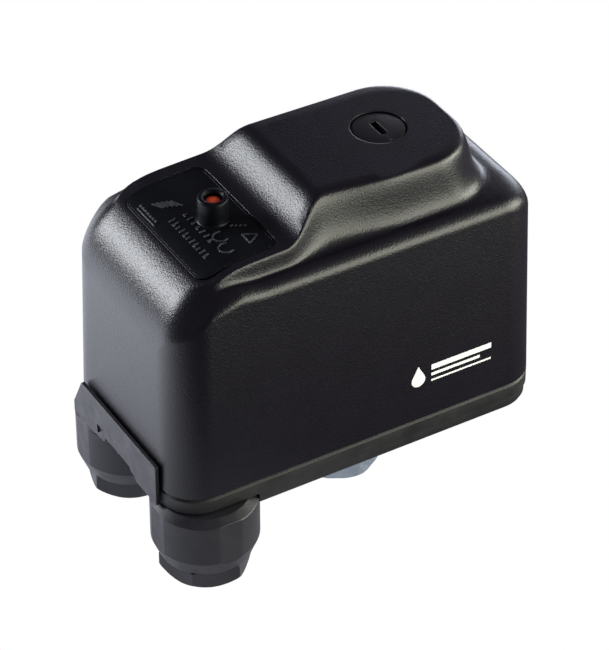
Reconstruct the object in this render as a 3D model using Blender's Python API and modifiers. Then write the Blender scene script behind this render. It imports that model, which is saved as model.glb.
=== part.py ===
"""Low-pressure (dry-run) switch for a water pump, with a manual reset button.

A moulded cover stands on a base tray. A rubber diaphragm under the tray lifts a plunger, the plunger
tilts a sprung lever, and the lever tips a contact rocker. Two cable glands hang under one end.
Sizes below are in millimetres. X runs along the case, with the glands at -X, and Z = 0 is the plane
of the gland nuts and the pressure port, on which the switch stands.
"""

import math

import bmesh
import bpy
from mathutils import Matrix

MM = 0.001
GAP = 0.3  # clearance left between touching pieces

# Case
CASE_X = 0.7  # centre of the case, which puts the whole switch's middle at X = 0
CASE_LENGTH, CASE_WIDTH = 100.0, 54.5
CORNER = 9.5  # plan radius of the case's corners
DRAFT = 0.024  # the walls lean in by this much for each unit of height
WALL = 2.2
SPLIT_Z = 27.0  # parting plane of cover and tray
X0 = CASE_X - CASE_LENGTH / 2
X1 = CASE_X + CASE_LENGTH / 2
HALF = CASE_WIDTH / 2

# Cover: heights above the parting plane
LEDGE = 54.0  # top of the front, back and right walls
SIDE_ROUND, END_ROUND, GLAND_END_ROUND = 3.7, 7.0, 19.8
DECK_SLOPE = 0.04
DECK_TOP = 58.55  # height of the low deck at the foot of the ramp
RAMP_X0, RAMP_X1 = CASE_X - 17.9, CASE_X - 5.5
PLATEAU, PLATEAU_FALL = 66.5, 0.012
DECK_HALF, PLATEAU_HALF = 21.2, 15.7
FRONT_BULGE = 2.6  # how far the high part swells out at the front
PLATEAU_X1 = CASE_X + 36.1
GLAND_END_RISE = 3.5  # run of the step up from the walls to the deck, at the gland end
LEAST_RUN = 0.8  # the same at the sides, where it is least
GLAND_CORNER_CUT, GLAND_CORNER_GAIN, FAR_CORNER_GAIN = 0.9, 3.0, 1.5  # how the corners' radii change
CORNER_DROP, CORNER_DROP_RUN = 0.092, 24.0  # share of its height the top loses at the gland end's corners
CORNER_DROP_Y, CORNER_DROP_WIDTH = 17.8, 8.0
CORNER_BLEND = 6.0  # width of the blend where the large rounding runs into the sides
END_SWELL, END_SWELL_RUN = 6.5, 15.0  # extra radius of the side rounding at the gland end
PLATEAU_CORNERS = (15.0, 13.5)  # at its far end, front and back
LEDGE_LIFT_X0, LEDGE_LIFT_RUN = X0 + 8.0, 17.0  # where the ledge comes down from the deck's height
RISE_FOOT, RISE_CREST = 0.75, 0.55  # handles of the rise's curve: a wide hollow foot, a tight crest
RAMP_FOOT, RAMP_CREST = 0.5, 0.62

# Cover screw and the post it screws onto
POST_X = CASE_X + 19.4
SCREW_HEAD_R, SCREW_HEAD_Z = 6.6, 90.4
SCREW_TOP_Z = SPLIT_Z + PLATEAU - PLATEAU_FALL * (POST_X - RAMP_X1) - 0.2

# Rating plate and reset button
PLATE_X, PLATE_Y = CASE_X - 28.4, -0.7
PLATE_LENGTH, PLATE_WIDTH = 20.6, 36.4
BUTTON_X, BUTTON_Y = CASE_X - 25.7, -2.0
COLLAR_R, COLLAR_TOP = 3.65, 91.2

# Tray, glands and the bar between them
TRAY_Z, BAND_Z = 19.6, 22.8
FLOOR_TOP = 24.4
GLAND_X, GLAND_Y = CASE_X - 38.8, 18.7
GLAND_R, GLAND_FLAT = 12.95, 12.6
BAR_X, BAR_THICKNESS = CASE_X - 51.3, 0.9
BAR_HALF, BAR_Z0, BAR_Z1 = 18.3, 22.7, 33.9

# Pressure side
PORT_X = CASE_X + 8.5
FLANGE_R = 20.5
PORT_FLATS = 20.0
PORT_BORE_R = 5.8

# Mechanism
CHASSIS_Z0, CHASSIS_Z1 = 24.7, 26.2
PIVOT_X, PIVOT_Z = CASE_X + 41.0, 35.0
LEVER_Z0, LEVER_Z1 = 37.2, 38.7
LEVER_X0 = CASE_X - 12.5
MAIN_SPRING_Z1, DIFF_SPRING_Z1 = 66.0, 60.0
DIFF_X = CASE_X - 1.5
BLOCK_X0, BLOCK_X1, BLOCK_Z1 = CASE_X - 37.0, CASE_X - 13.0, 36.0
ROCKER_X, ROCKER_Z = CASE_X - 17.0, 46.0
RESET_Z = 58.0  # pivot of the reset lever, above the rocker's
POLES = (-9.6, -3.2, 3.2, 9.6)
TERMINAL_SCREW_X = CASE_X - 33.0


# ---------------------------------------------------------------- helpers

def clear_scene():
    for obj in list(bpy.data.objects):
        bpy.data.objects.remove(obj, do_unlink=True)


def collection(name):
    made = bpy.data.collections.new(name)
    bpy.context.scene.collection.children.link(made)
    return made


clear_scene()
PARTS = collection("pressure_switch")
CUTTERS = collection("cutters")


def finish(name, colour, roughness, metallic=0.0):
    made = bpy.data.materials.new(name)
    made.use_nodes = True
    shader = made.node_tree.nodes["Principled BSDF"]
    shader.inputs["Base Color"].default_value = (*colour, 1.0)
    shader.inputs["Roughness"].default_value = roughness
    shader.inputs["Metallic"].default_value = metallic
    return made


CASE_BLACK = finish("case_black", (0.018, 0.017, 0.021), 0.42)
PLATE_BLACK = finish("plate_black", (0.010, 0.014, 0.016), 0.30)
GREY_POLYAMIDE = finish("grey_polyamide", (0.045, 0.045, 0.050), 0.45)
RED_PLASTIC = finish("red_plastic", (0.75, 0.07, 0.02), 0.35)
IVORY_PLASTIC = finish("ivory_plastic", (0.62, 0.57, 0.44), 0.45)
RUBBER = finish("rubber", (0.02, 0.02, 0.02), 0.7)
ZINC = finish("zinc", (0.62, 0.70, 0.76), 0.35, 1.0)
STEEL = finish("steel", (0.55, 0.56, 0.58), 0.3, 1.0)
SPRING_STEEL = finish("spring_steel", (0.42, 0.43, 0.46), 0.28, 1.0)
BRASS = finish("brass", (0.72, 0.53, 0.24), 0.3, 1.0)


def place(name, mesh, look, at=(0, 0, 0)):
    """A part from a mesh in millimetres, or a cutter where no look is given."""
    mesh.transform(Matrix.Scale(MM, 4))
    obj = bpy.data.objects.new(name, mesh)
    obj.location = [c * MM for c in at]
    (PARTS if look else CUTTERS).objects.link(obj)
    if look:
        mesh.materials.append(look)
        mesh.shade_smooth()
        mesh.set_sharp_from_angle(angle=math.radians(35))
    else:
        obj.hide_render = True
        obj.display_type = "WIRE"
    return obj


def mesh_of(bm, name):
    mesh = bpy.data.meshes.new(name)
    bm.to_mesh(mesh)
    bm.free()
    return mesh


def box(name, low, high, look=None, at=(0, 0, 0)):
    """A box between two corners."""
    bm = bmesh.new()
    bmesh.ops.create_cube(bm, size=1.0)
    size = [b - a for a, b in zip(low, high)]
    middle = [(a + b) / 2 for a, b in zip(low, high)]
    bmesh.ops.scale(bm, vec=size, verts=bm.verts)
    bmesh.ops.translate(bm, vec=middle, verts=bm.verts)
    return place(name, mesh_of(bm, name), look, at)


def rod(name, radius, z0, z1, look=None, at=(0, 0, 0), axis="Z", sides=20):
    """A cylinder from z0 to z1 along its own axis. With six sides it is a hexagonal prism."""
    bm = bmesh.new()
    bmesh.ops.create_cone(bm, cap_ends=True, segments=sides, radius1=radius, radius2=radius, depth=z1 - z0)
    bmesh.ops.translate(bm, vec=(0, 0, (z0 + z1) / 2), verts=bm.verts)
    if axis == "Y":
        bmesh.ops.rotate(bm, matrix=Matrix.Rotation(math.radians(-90), 3, "X"), verts=bm.verts)
    return place(name, mesh_of(bm, name), look, at)


def turned(name, profile, look=None, at=(0, 0, 0), steps=24):
    """A turned piece. The profile of (radius, z) points runs down its outer side. It starts and ends
    on the axis, or is a closed loop round a bore."""
    on_axis = profile[0][0] == 0
    bm = bmesh.new()
    points = [bm.verts.new((r, 0, z)) for r, z in profile]
    pairs = list(zip(points, points[1:]))
    if not on_axis:
        pairs.append((points[-1], points[0]))
    for a, b in pairs:
        bm.edges.new((a, b))
    obj = place(name, mesh_of(bm, name), look, at)
    screw = obj.modifiers.new("turn", "SCREW")
    screw.steps = screw.render_steps = steps
    screw.use_merge_vertices = True
    screw.merge_threshold = 0.00001
    return obj


def flat_piece(name, outline, low, high, look=None, at=(0, 0, 0), axis="Z"):
    """A flat outline extruded from low to high along Z, or an outline in XZ extruded along Y."""
    curve = bpy.data.curves.new(name, "CURVE")
    curve.dimensions = "2D"
    curve.fill_mode = "BOTH"
    curve.extrude = (high - low) / 2
    spline = curve.splines.new("POLY")
    spline.points.add(len(outline) - 1)
    for point, (u, v) in zip(spline.points, outline):
        point.co = (u, v, 0, 1)
    spline.use_cyclic_u = True
    guide = bpy.data.objects.new(name + "_outline", curve)
    CUTTERS.objects.link(guide)
    graph = bpy.context.evaluated_depsgraph_get()
    mesh = bpy.data.meshes.new_from_object(guide.evaluated_get(graph))
    bpy.data.objects.remove(guide, do_unlink=True)
    bm = bmesh.new()
    bm.from_mesh(mesh)
    bpy.data.meshes.remove(mesh)
    bmesh.ops.remove_doubles(bm, verts=bm.verts, dist=0.0005)
    bmesh.ops.translate(bm, vec=(0, 0, (low + high) / 2), verts=bm.verts)
    if axis == "Y":
        bmesh.ops.rotate(bm, matrix=Matrix.Rotation(math.radians(90), 3, "X"), verts=bm.verts)
    bmesh.ops.recalc_face_normals(bm, faces=bm.faces)
    return place(name, mesh_of(bm, name), look, at)


def combine(obj, operation, others):
    for other in others:
        step = obj.modifiers.new(operation.lower(), "BOOLEAN")
        step.operation = operation
        step.object = other


def cut(obj, *cutters):
    combine(obj, "DIFFERENCE", cutters)


def join(obj, *others):
    combine(obj, "UNION", others)


def arc(cx, cy, radius, start, end, steps):
    """Points of an arc, angles in degrees, both ends included."""
    turn = [math.radians(start + (end - start) * i / steps) for i in range(steps + 1)]
    return [(cx + radius * math.cos(a), cy + radius * math.sin(a)) for a in turn]


def rounded_rectangle(x0, x1, half, radius, steps=5):
    return (
        arc(x1 - radius, half - radius, radius, 0, 90, steps)
        + arc(x0 + radius, half - radius, radius, 90, 180, steps)
        + arc(x0 + radius, radius - half, radius, 180, 270, steps)
        + arc(x1 - radius, radius - half, radius, 270, 360, steps)
    )


def coil(name, at, radius, wire, z0, z1, turns, points_per_turn=8):
    """A compression spring between the heights z0 and z1, with a closed turn at each end."""
    curve = bpy.data.curves.new(name, "CURVE")
    curve.dimensions = "3D"
    curve.bevel_depth = wire * MM
    curve.bevel_resolution = 2
    curve.use_fill_caps = True
    count = turns * points_per_turn
    spline = curve.splines.new("POLY")
    spline.points.add(count)
    free = z1 - z0 - 6.4 * wire
    for i, point in enumerate(spline.points):
        turn = i / points_per_turn
        closed = min(turn, 1.0) + max(turn - (turns - 1), 0.0)
        rise = wire + closed * 2.2 * wire + free * min(max(turn - 1, 0.0), turns - 2) / (turns - 2)
        angle = 2 * math.pi * turn
        point.co = (radius * math.cos(angle) * MM, radius * math.sin(angle) * MM, rise * MM, 1)
    obj = bpy.data.objects.new(name, curve)
    obj.location = (at[0] * MM, at[1] * MM, z0 * MM)
    curve.materials.append(SPRING_STEEL)
    PARTS.objects.link(obj)
    return obj


def slotted_screw(name, at, head_r, head_z, shank_r, shank_z, look=STEEL, down=True):
    """A cheese-head screw. head_z is its head's (low, high) and shank_z its tip."""
    z0, z1 = head_z
    if down:
        profile = [(0, z1), (head_r - 0.3, z1), (head_r, z1 - 0.3), (head_r, z0), (shank_r, z0),
                   (shank_r, shank_z), (0, shank_z)]
        slot = (z1 - 0.9, z1 + 1)
    else:
        profile = [(0, shank_z), (shank_r, shank_z), (shank_r, z1), (head_r, z1), (head_r, z0 + 0.3),
                   (head_r - 0.3, z0), (0, z0)]
        slot = (z0 - 1, z0 + 0.9)
    screw = turned(name, profile, look, at, steps=10)
    cut(screw, box(name + "_slot", (-head_r - 1, -0.4, slot[0]), (head_r + 1, 0.4, slot[1]), at=at))
    return screw


# ---------------------------------------------------------------- cover

ARC_STEPS, END_SEGMENTS, ROUND_RINGS, RISE_RINGS = 5, 4, 4, 6
STATIONS = (-32.0, -28.5, -25.0, -21.5, -18.0, -15.5, -13.0, -11.0, -9.0, -7.3, -6.0, -4.0, 4.0, 12.0)
BISECTIONS = 30


def smooth(t):
    t = min(max(t, 0.0), 1.0)
    return t * t * (3 - 2 * t)


def handle_curve(t, foot, crest):
    """How far along its run an S-shaped rise is at t, for the handles at its foot and its crest."""
    return 3 * (1 - t) ** 2 * t * foot + 3 * (1 - t) * t * t * crest + t ** 3


def ramp_rise(share):
    """The part of the ramp's height that is reached at this share of its run."""
    low, high = 0.0, 1.0
    for _ in range(BISECTIONS):
        middle = (low + high) / 2
        if handle_curve(middle, RAMP_FOOT, RAMP_CREST) < share:
            low = middle
        else:
            high = middle
    return smooth(low)


def top_height(x):
    """Height of the cover's top along its middle, above the parting plane."""
    deck = DECK_TOP + DECK_SLOPE * (x - RAMP_X0)
    plateau = PLATEAU - PLATEAU_FALL * (x - RAMP_X1)
    return deck + (plateau - deck) * ramp_rise((x - RAMP_X0) / (RAMP_X1 - RAMP_X0))


def wall_points(x0, x1, half, left_r, right_corners, face):
    """The front wall of a ring, face -1, or the back one, face 1, with its two corners."""
    points = []
    right_r = right_corners[face > 0]
    for i in range(ARC_STEPS + 1):
        a = math.radians(180 + 90 * i / ARC_STEPS)
        x = x0 + left_r + left_r * math.cos(a)
        points.append((x, face * (half(x, face) - left_r - left_r * math.sin(a)), math.cos(a)))
    for station in STATIONS:
        x = station + CASE_X
        points.append((x, face * half(x, face), 0.0))
    for i in range(ARC_STEPS + 1):
        a = math.radians(270 + 90 * i / ARC_STEPS)
        x = x1 - right_r + right_r * math.cos(a)
        points.append((x, face * (half(x, face) - right_r - right_r * math.sin(a)), math.cos(a)))
    return points


def end_points(x, y0, y1, side):
    """Points along an end wall, between its two corners."""
    return [(x, y0 + (y1 - y0) * i / END_SEGMENTS, side) for i in range(1, END_SEGMENTS)]


def case_ring(x0, x1, half, left_r, right_corners, height):
    """One closed ring round the case, as (x, y, z). half is a function of x and the face, and height
    one of x and the wall's direction: -1 at the gland end, 0 at the sides and 1 at the other end."""
    front = wall_points(x0, x1, half, left_r, right_corners, -1)
    back = wall_points(x0, x1, half, left_r, right_corners, 1)
    ring = front + end_points(x1, front[-1][1], back[-1][1], 1.0)
    ring += back[::-1] + end_points(x0, back[0][1], front[0][1], -1.0)
    return [(x, y, SPLIT_Z + height(x, side) * (1 - corner_drop(x, y))) for x, y, side in ring], len(front)


def corner_drop(x, y):
    """The share of its height that the top loses here, towards the gland end's two corners."""
    return (CORNER_DROP * smooth((abs(y) - CORNER_DROP_Y) / CORNER_DROP_WIDTH)
            * (1 - smooth((x - X0) / CORNER_DROP_RUN)))


def gland_end_height(x):
    """Height of the top along its middle, with its large rounding at the gland end."""
    lean = math.atan(DECK_SLOPE)
    centre_x = X0 + DRAFT * (DECK_TOP - GLAND_END_ROUND) + GLAND_END_ROUND
    meet_x = centre_x - GLAND_END_ROUND * math.sin(lean)
    if x >= meet_x:
        return top_height(x)
    centre_z = DECK_TOP + DECK_SLOPE * (meet_x - RAMP_X0) - GLAND_END_ROUND * math.cos(lean)
    return centre_z + math.sqrt(max(GLAND_END_ROUND ** 2 - (centre_x - x) ** 2, 0.0))


def soft_min(a, b, width):
    """The lower of two heights, rounded off where they lie within width of each other."""
    apart = abs(a - b)
    if apart >= width:
        return min(a, b)
    return min(a, b) - (width - apart) ** 2 / (4 * width)


def ledge_lift(x):
    """How far the ledge stands up towards the gland end, where it runs out into the deck."""
    return (DECK_TOP - LEDGE) * (1 - smooth((x - LEDGE_LIFT_X0) / LEDGE_LIFT_RUN))


def side_round(x):
    """Radius of the rounding along the top of the side walls."""
    return SIDE_ROUND + END_SWELL * (1 - smooth((x - X0) / END_SWELL_RUN))


def ring_height(x, side, front, right, width):
    """Height on a ring that is at front along the sides and at right across the far end."""
    across = front + (right - front) * side * side if side > 0 else front
    return soft_min(across, gland_end_height(x), width)


def round_section(t):
    """The ring's sizes at t from 0, where the walls end, to 1, where the rounding meets the ledge."""
    turn = t * math.pi / 2
    end_top = LEDGE - END_ROUND
    inset = SIDE_ROUND * (1 - math.cos(turn))
    x0 = X0 + DRAFT * (DECK_TOP - GLAND_END_ROUND) + inset
    x1 = X1 - DRAFT * end_top - END_ROUND * (1 - math.cos(turn))

    def half(x, face):
        return HALF - DRAFT * (LEDGE - SIDE_ROUND) - side_round(x) * (1 - math.cos(turn))

    def front(x):
        return LEDGE + ledge_lift(x) - side_round(x) * (1 - math.sin(turn))

    left_r = CORNER - GLAND_CORNER_CUT * inset + GLAND_CORNER_GAIN * t
    right_r = CORNER + FAR_CORNER_GAIN * t
    return x0, x1, half, left_r, right_r, (front, end_top + END_ROUND * math.sin(turn))


def cover_rings():
    rim = 0.15
    rings = [case_ring(X0, X1, lambda x, face: HALF, CORNER, (CORNER, CORNER), lambda x, side: rim)]
    for k in range(ROUND_RINGS + 1):
        x0, x1, half, left_r, right_r, heights = round_section(k / ROUND_RINGS)
        rings.append(case_ring(x0, x1, half, left_r, (right_r, right_r),
                               lambda x, side, z=heights: ring_height(x, side, z[0](x), z[1], CORNER_BLEND)))
    for k in range(1, RISE_RINGS + 1):
        t = k / RISE_RINGS
        u = handle_curve(t, RISE_FOOT, RISE_CREST)

        def rise_half(x, face, u=u):
            inner = DECK_HALF + (PLATEAU_HALF - DECK_HALF) * smooth((x - RAMP_X0) / (RAMP_X1 - RAMP_X0))
            if face < 0:
                inner += FRONT_BULGE * smooth((x - RAMP_X1) / 20.0)
            outer = half(x, face)
            return outer + (min(inner, outer - LEAST_RUN) - outer) * u

        def rise_height(x, side, t=t):
            feet = (heights[0](x), heights[1])
            front, right = (foot + (top_height(x) - foot) * smooth(t) for foot in feet)
            return ring_height(x, side, front, right, CORNER_BLEND * (1 - t))

        corners = [right_r + (corner - right_r) * u for corner in PLATEAU_CORNERS]
        rings.append(case_ring(x0 + GLAND_END_RISE * u, x1 + (PLATEAU_X1 - x1) * u, rise_half,
                               left_r - u, corners, rise_height))
    return rings


def cover_surface():
    """The cover's outside: rings up the walls and the rise, then rows of faces across the top."""
    bm = bmesh.new()
    rings = cover_rings()
    front_count = rings[0][1]
    loops = [[bm.verts.new(p) for p in ring] for ring, _ in rings]
    count = len(loops[0])
    for low, high in zip(loops, loops[1:]):
        for i in range(count):
            j = (i + 1) % count
            bm.faces.new((low[i], low[j], high[j], high[i]))
    top = loops[-1]
    back = front_count + END_SEGMENTS - 1
    columns = []
    for i in range(front_count):
        if i == 0:
            inner = list(reversed(top[back + front_count:]))
        elif i == front_count - 1:
            inner = top[front_count:back]
        else:
            a, b = top[i].co, top[back + front_count - 1 - i].co
            inner = [bm.verts.new(a.lerp(b, s / END_SEGMENTS)) for s in range(1, END_SEGMENTS)]
        columns.append([top[i], *inner, top[back + front_count - 1 - i]])
    for left, right in zip(columns, columns[1:]):
        for s in range(END_SEGMENTS):
            bm.faces.new((left[s], right[s], right[s + 1], left[s + 1]))
    bmesh.ops.recalc_face_normals(bm, faces=bm.faces)
    return mesh_of(bm, "cover")


def deck_slab(name, grow, low, high, look=None):
    """A slab that follows the low deck, from low to high above it, grown sideways by grow."""
    bm = bmesh.new()
    x0, x1 = PLATE_X - PLATE_LENGTH / 2 - grow, PLATE_X + PLATE_LENGTH / 2 + grow
    half, corner, rows = PLATE_WIDTH / 2 + grow, 3.0 + grow, 4
    xs = [x0 + corner * (1 - math.cos(math.radians(a))) for a in (0, 30, 60, 90)]
    xs += [x0 + corner + (x1 - x0 - 2 * corner) * i / 5 for i in range(1, 5)]
    xs += [x1 - corner * (1 - math.cos(math.radians(a))) for a in (90, 60, 30, 0)]
    grids = []
    for offset in (low, high):
        grid = []
        for x in xs:
            off = max(x0 + corner - x, x - x1 + corner, 0.0)
            reach = half - corner + math.sqrt(max(corner ** 2 - off ** 2, 0.0))
            z = SPLIT_Z + gland_end_height(x) + offset
            grid.append([bm.verts.new((x, PLATE_Y + reach * (2 * r / rows - 1), z)) for r in range(rows + 1)])
        grids.append(grid)
    for grid in grids:
        for a, b in zip(grid, grid[1:]):
            for r in range(rows):
                bm.faces.new((a[r], b[r], b[r + 1], a[r + 1]))
    lower, upper = grids
    edge = [(i, 0) for i in range(len(xs))] + [(len(xs) - 1, r) for r in range(1, rows + 1)]
    edge += [(i, rows) for i in range(len(xs) - 2, -1, -1)] + [(0, r) for r in range(rows - 1, 0, -1)]
    for (i, r), (j, s) in zip(edge, edge[1:] + edge[:1]):
        bm.faces.new((lower[i][r], lower[j][s], upper[j][s], upper[i][r]))
    bmesh.ops.recalc_face_normals(bm, faces=bm.faces)
    return place(name, mesh_of(bm, name), look)


def make_cover():
    cover = place("cover", cover_surface(), CASE_BLACK)
    shell = cover.modifiers.new("wall", "SOLIDIFY")
    shell.thickness = WALL * MM
    shell.offset = -1
    shell.use_even_offset = True
    post = (POST_X, 0, 0)
    button = (BUTTON_X, BUTTON_Y, 0)
    join(cover, rod("screw_boss", 9.2, 84.0, 91.5, at=post))
    cut(
        cover,
        rod("screw_recess", SCREW_HEAD_R + 0.35, SCREW_HEAD_Z - GAP, 99, at=post, sides=32),
        rod("screw_hole", 4.85, 70, 95, at=post),
        deck_slab("plate_recess", 0.25, -1.0, 6.0),
        rod("button_hole", 2.6, 70, 99, at=button, sides=16),
    )
    return cover


def make_cover_fittings():
    plate = deck_slab("rating_plate", 0.0, -1.0 + GAP, -0.1, PLATE_BLACK)
    button = (BUTTON_X, BUTTON_Y, 0)
    join(plate, rod("button_collar", COLLAR_R, 84.5, COLLAR_TOP, at=button, sides=24))
    cut(plate, rod("collar_bore", 2.45, 84.9, 99, at=button, sides=20),
        rod("stem_bore", 1.5, 70, 90, at=button, sides=12))
    head = COLLAR_TOP - 0.9
    turned("reset_button", [(0, head), (1.7, head), (2.1, head - 0.4), (2.1, head - 1.9), (1.15, head - 1.9),
                            (1.15, 60.3), (0.8, RESET_Z + 1.4), (0, RESET_Z + 1.4)], RED_PLASTIC, button, 20)
    coil("reset_button_spring", button, 1.8, 0.15, 85.2, head - 2.2, 3)
    turned("reset_button_clip", [(1.45, 80.4), (2.9, 80.4), (2.9, 79.8), (1.45, 79.8)], STEEL, button, 16)

    post = (POST_X, 0, 0)
    top = SCREW_TOP_Z
    cap = turned("cover_screw", [(0, top), (SCREW_HEAD_R - 0.3, top), (SCREW_HEAD_R, top - 0.3),
                                 (SCREW_HEAD_R, SCREW_HEAD_Z), (4.5, SCREW_HEAD_Z), (4.5, 76.0),
                                 (2.85, 76.0), (2.85, 88.0), (0, 88.0)], CASE_BLACK, post, 32)
    cut(cap, box("cap_slot", (-0.7, -2.5, top - 1.4), (0.7, 2.5, top + 1), at=post))
    turned("cover_screw_ring", [(4.8, 79.6), (5.6, 80.2), (6.2, 79.6), (6.2, 79.0), (5.6, 78.4), (4.8, 79.0)],
           RUBBER, post, 20)


# ---------------------------------------------------------------- tray and glands

def make_tray():
    lower_x0 = GLAND_X + 6.0
    tray = flat_piece("base_tray", rounded_rectangle(X0, X1, HALF, CORNER), BAND_Z, SPLIT_Z - 0.15, GREY_POLYAMIDE)
    inset = 0.4
    skirt = flat_piece("skirt", rounded_rectangle(lower_x0, X1 - inset, HALF - inset, CORNER - inset),
                       TRAY_Z, BAND_Z + 0.6)
    square = box("skirt_end", (lower_x0, -HALF + inset, TRAY_Z), (lower_x0 + 12, HALF - inset, BAND_Z + 0.6))
    join(tray, skirt, square)
    well = flat_piece("well", rounded_rectangle(X0 + 2.0, X1 - 2.0, HALF - 2.0, CORNER - 2.0), FLOOR_TOP, 30)
    for y in (-GLAND_Y, GLAND_Y):
        skirt_cut = rod(f"gland_space_{y:.0f}", GLAND_R + GAP, 15, BAND_Z, at=(GLAND_X, y, 0), sides=32)
        cut(tray, skirt_cut)
    recess = flat_piece("flange_recess", rounded_rectangle(GLAND_X + 15.6, X1 - 3.2, HALF - 3.2, CORNER - 3.2),
                        TRAY_Z - 2, BAND_Z)
    cutters = [well, recess, rod("plunger_hole", 11.0, 15, 30, at=(PORT_X, 0, 0), sides=28)]
    for y in (-GLAND_Y, GLAND_Y):
        cutters.append(rod(f"gland_hole_{y:.0f}", 5.95, 15, 30, at=(GLAND_X, y, 0), sides=28))
    for y in (-9.0, 9.0):
        cutters.append(box(f"tongue_slot_{y:.0f}", (X0 - 1, y - 3.3, 23.5), (X0 + 3, y + 3.3, 26.1)))
    cutters += [rod(f"tray_screw_hole_{i}", 2.1, 15, 30, at=at, sides=10) for i, at in enumerate(flange_screw_places())]
    cut(tray, *cutters)


def flange_screw_places():
    reach = 16.6 * math.sqrt(0.5)
    return [(PORT_X + sx * reach, sy * reach, 0) for sx in (-1, 1) for sy in (-1, 1)]


def make_bar():
    """The upright bar across the gland end, with a sloping nose at its back end and two tongues."""
    bar = flat_piece("gland_retainer", [(-BAR_HALF, BAR_Z0), (BAR_HALF, BAR_Z0), (BAR_HALF + 4.4, BAR_Z0 - 0.2),
                                        (BAR_HALF + 4.4, BAR_Z1 - 8.3), (BAR_HALF, BAR_Z1), (-BAR_HALF, BAR_Z1)],
                     -BAR_THICKNESS / 2, BAR_THICKNESS / 2, GREY_POLYAMIDE, axis="Y")
    bar.rotation_euler = (0, 0, math.radians(90))
    bar.location = ((BAR_X + BAR_THICKNESS / 2) * MM, 0, 0)
    for y in (-9.0, 9.0):
        join(bar, box(f"tongue_{y:.0f}", (BAR_X + 0.5, y - 3.0, 23.8), (X0 + 2.6, y + 3.0, 25.8)))
    for y in (-6.0, 2.5, 12.0):
        cut(bar, box(f"bar_notch_{y:.0f}", (BAR_X - 1, y - 0.8, BAR_Z0 - 1), (BAR_X + 0.45, y + 0.8, BAR_Z0 + 0.9)))


def make_gland(side, name):
    at = (GLAND_X, side * GLAND_Y, 0)
    body = turned(f"gland_body_{name}", [
        (4.8, 25.7), (5.65, 25.7), (6.2, 25.2), (6.2, 24.8), (5.65, 24.7), (5.65, 22.5),
        (GLAND_R - 2.2, 22.5), (GLAND_R, 21.1), (GLAND_R, 10.2), (11.3, 6.0), (8.2, 6.0), (8.2, 1.7),
        (6.9, 1.7), (6.9, 9.5), (4.8, 11.0)], GREY_POLYAMIDE, at, 32)
    far = GLAND_R + 3
    for i, (dx, dy) in enumerate(((1, 0), (-1, 0), (0, 1), (0, -1))):
        low = [GLAND_FLAT if dx > 0 else -far, GLAND_FLAT if dy > 0 else -far, 5]
        high = [-GLAND_FLAT if dx < 0 else far, -GLAND_FLAT if dy < 0 else far, 24]
        cut(body, box(f"gland_flat_{name}_{i}", low, high, at=at))
    turned(f"gland_seal_{name}", [(4.6, 8.8), (6.6, 8.8), (6.6, 3.0), (4.6, 3.0)], RUBBER, at, 16)
    turned(f"gland_ring_{name}", [(4.9, 2.7), (6.6, 2.7), (6.6, 2.0), (4.9, 2.0)], IVORY_PLASTIC, at, 16)
    nut = rod(f"gland_nut_{name}", 11.43, 0, 5.7, GREY_POLYAMIDE, at, sides=6)
    nut.rotation_euler = (0, 0, math.radians(45 * side))
    bpy.context.view_layer.update()
    keep = turned(f"nut_chamfer_{name}", [(0, 6), (11.5, 6), (11.5, 2.3), (9.3, 0), (0, 0)], None, at, 24)
    combine(nut, "INTERSECT", [keep])
    cut(nut, turned(f"nut_bore_{name}", [(0, 7), (8.55, 7), (8.55, 1.5), (5.2, 1.5), (5.2, -1), (0, -1)],
                    None, at, 20))


# ---------------------------------------------------------------- pressure side

def make_pressure_side():
    at = (PORT_X, 0, 0)
    port = rod("pressure_port", PORT_FLATS / math.sqrt(3), 0, 17.2, ZINC, at, sides=6)
    keep = turned("port_chamfer", [(0, 19.9), (5.0, 19.9), (5.0, 17.2), (11.4, 17.2), (11.4, 1.1), (10.2, 0), (0, 0)],
                  None, at, 24)
    join(port, rod("port_neck", 4.9, 16.5, 19.8, at=at, sides=24))
    combine(port, "INTERSECT", [keep])
    cut(port, rod("port_thread", PORT_BORE_R, -1, 12.5, at=at, sides=24), rod("port_way", 1.8, 10, 25, at=at, sides=10))

    flange = turned("port_flange", [(5.3, 19.6), (15.0, 19.6), (15.8, 20.8), (FLANGE_R, 20.8), (FLANGE_R, 17.9),
                                    (FLANGE_R - 0.4, 17.5), (5.3, 17.5)], ZINC, at, 28)
    rubber = rod("diaphragm", FLANGE_R - 0.5, 21.1, 22.45, RUBBER, at, sides=28)
    for i, place_xy in enumerate(flange_screw_places()):
        cut(flange, rod(f"flange_hole_{i}", 2.1, 10, 30, at=place_xy, sides=10))
        cut(rubber, rod(f"diaphragm_hole_{i}", 2.1, 10, 30, at=place_xy, sides=10))
        slotted_screw(f"flange_screw_{i + 1}", place_xy, 3.3, (14.8, 17.2), 1.8, 28.0, down=False)
    turned("plunger", [(0, 36.9), (1.4, 36.7), (2.2, 36.0), (2.2, 30.0), (4.0, 29.0), (4.0, 24.0),
                       (7.3, 23.8), (7.3, 22.75), (0, 22.75)], IVORY_PLASTIC, at, 20)


# ---------------------------------------------------------------- chassis, lever and springs

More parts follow.
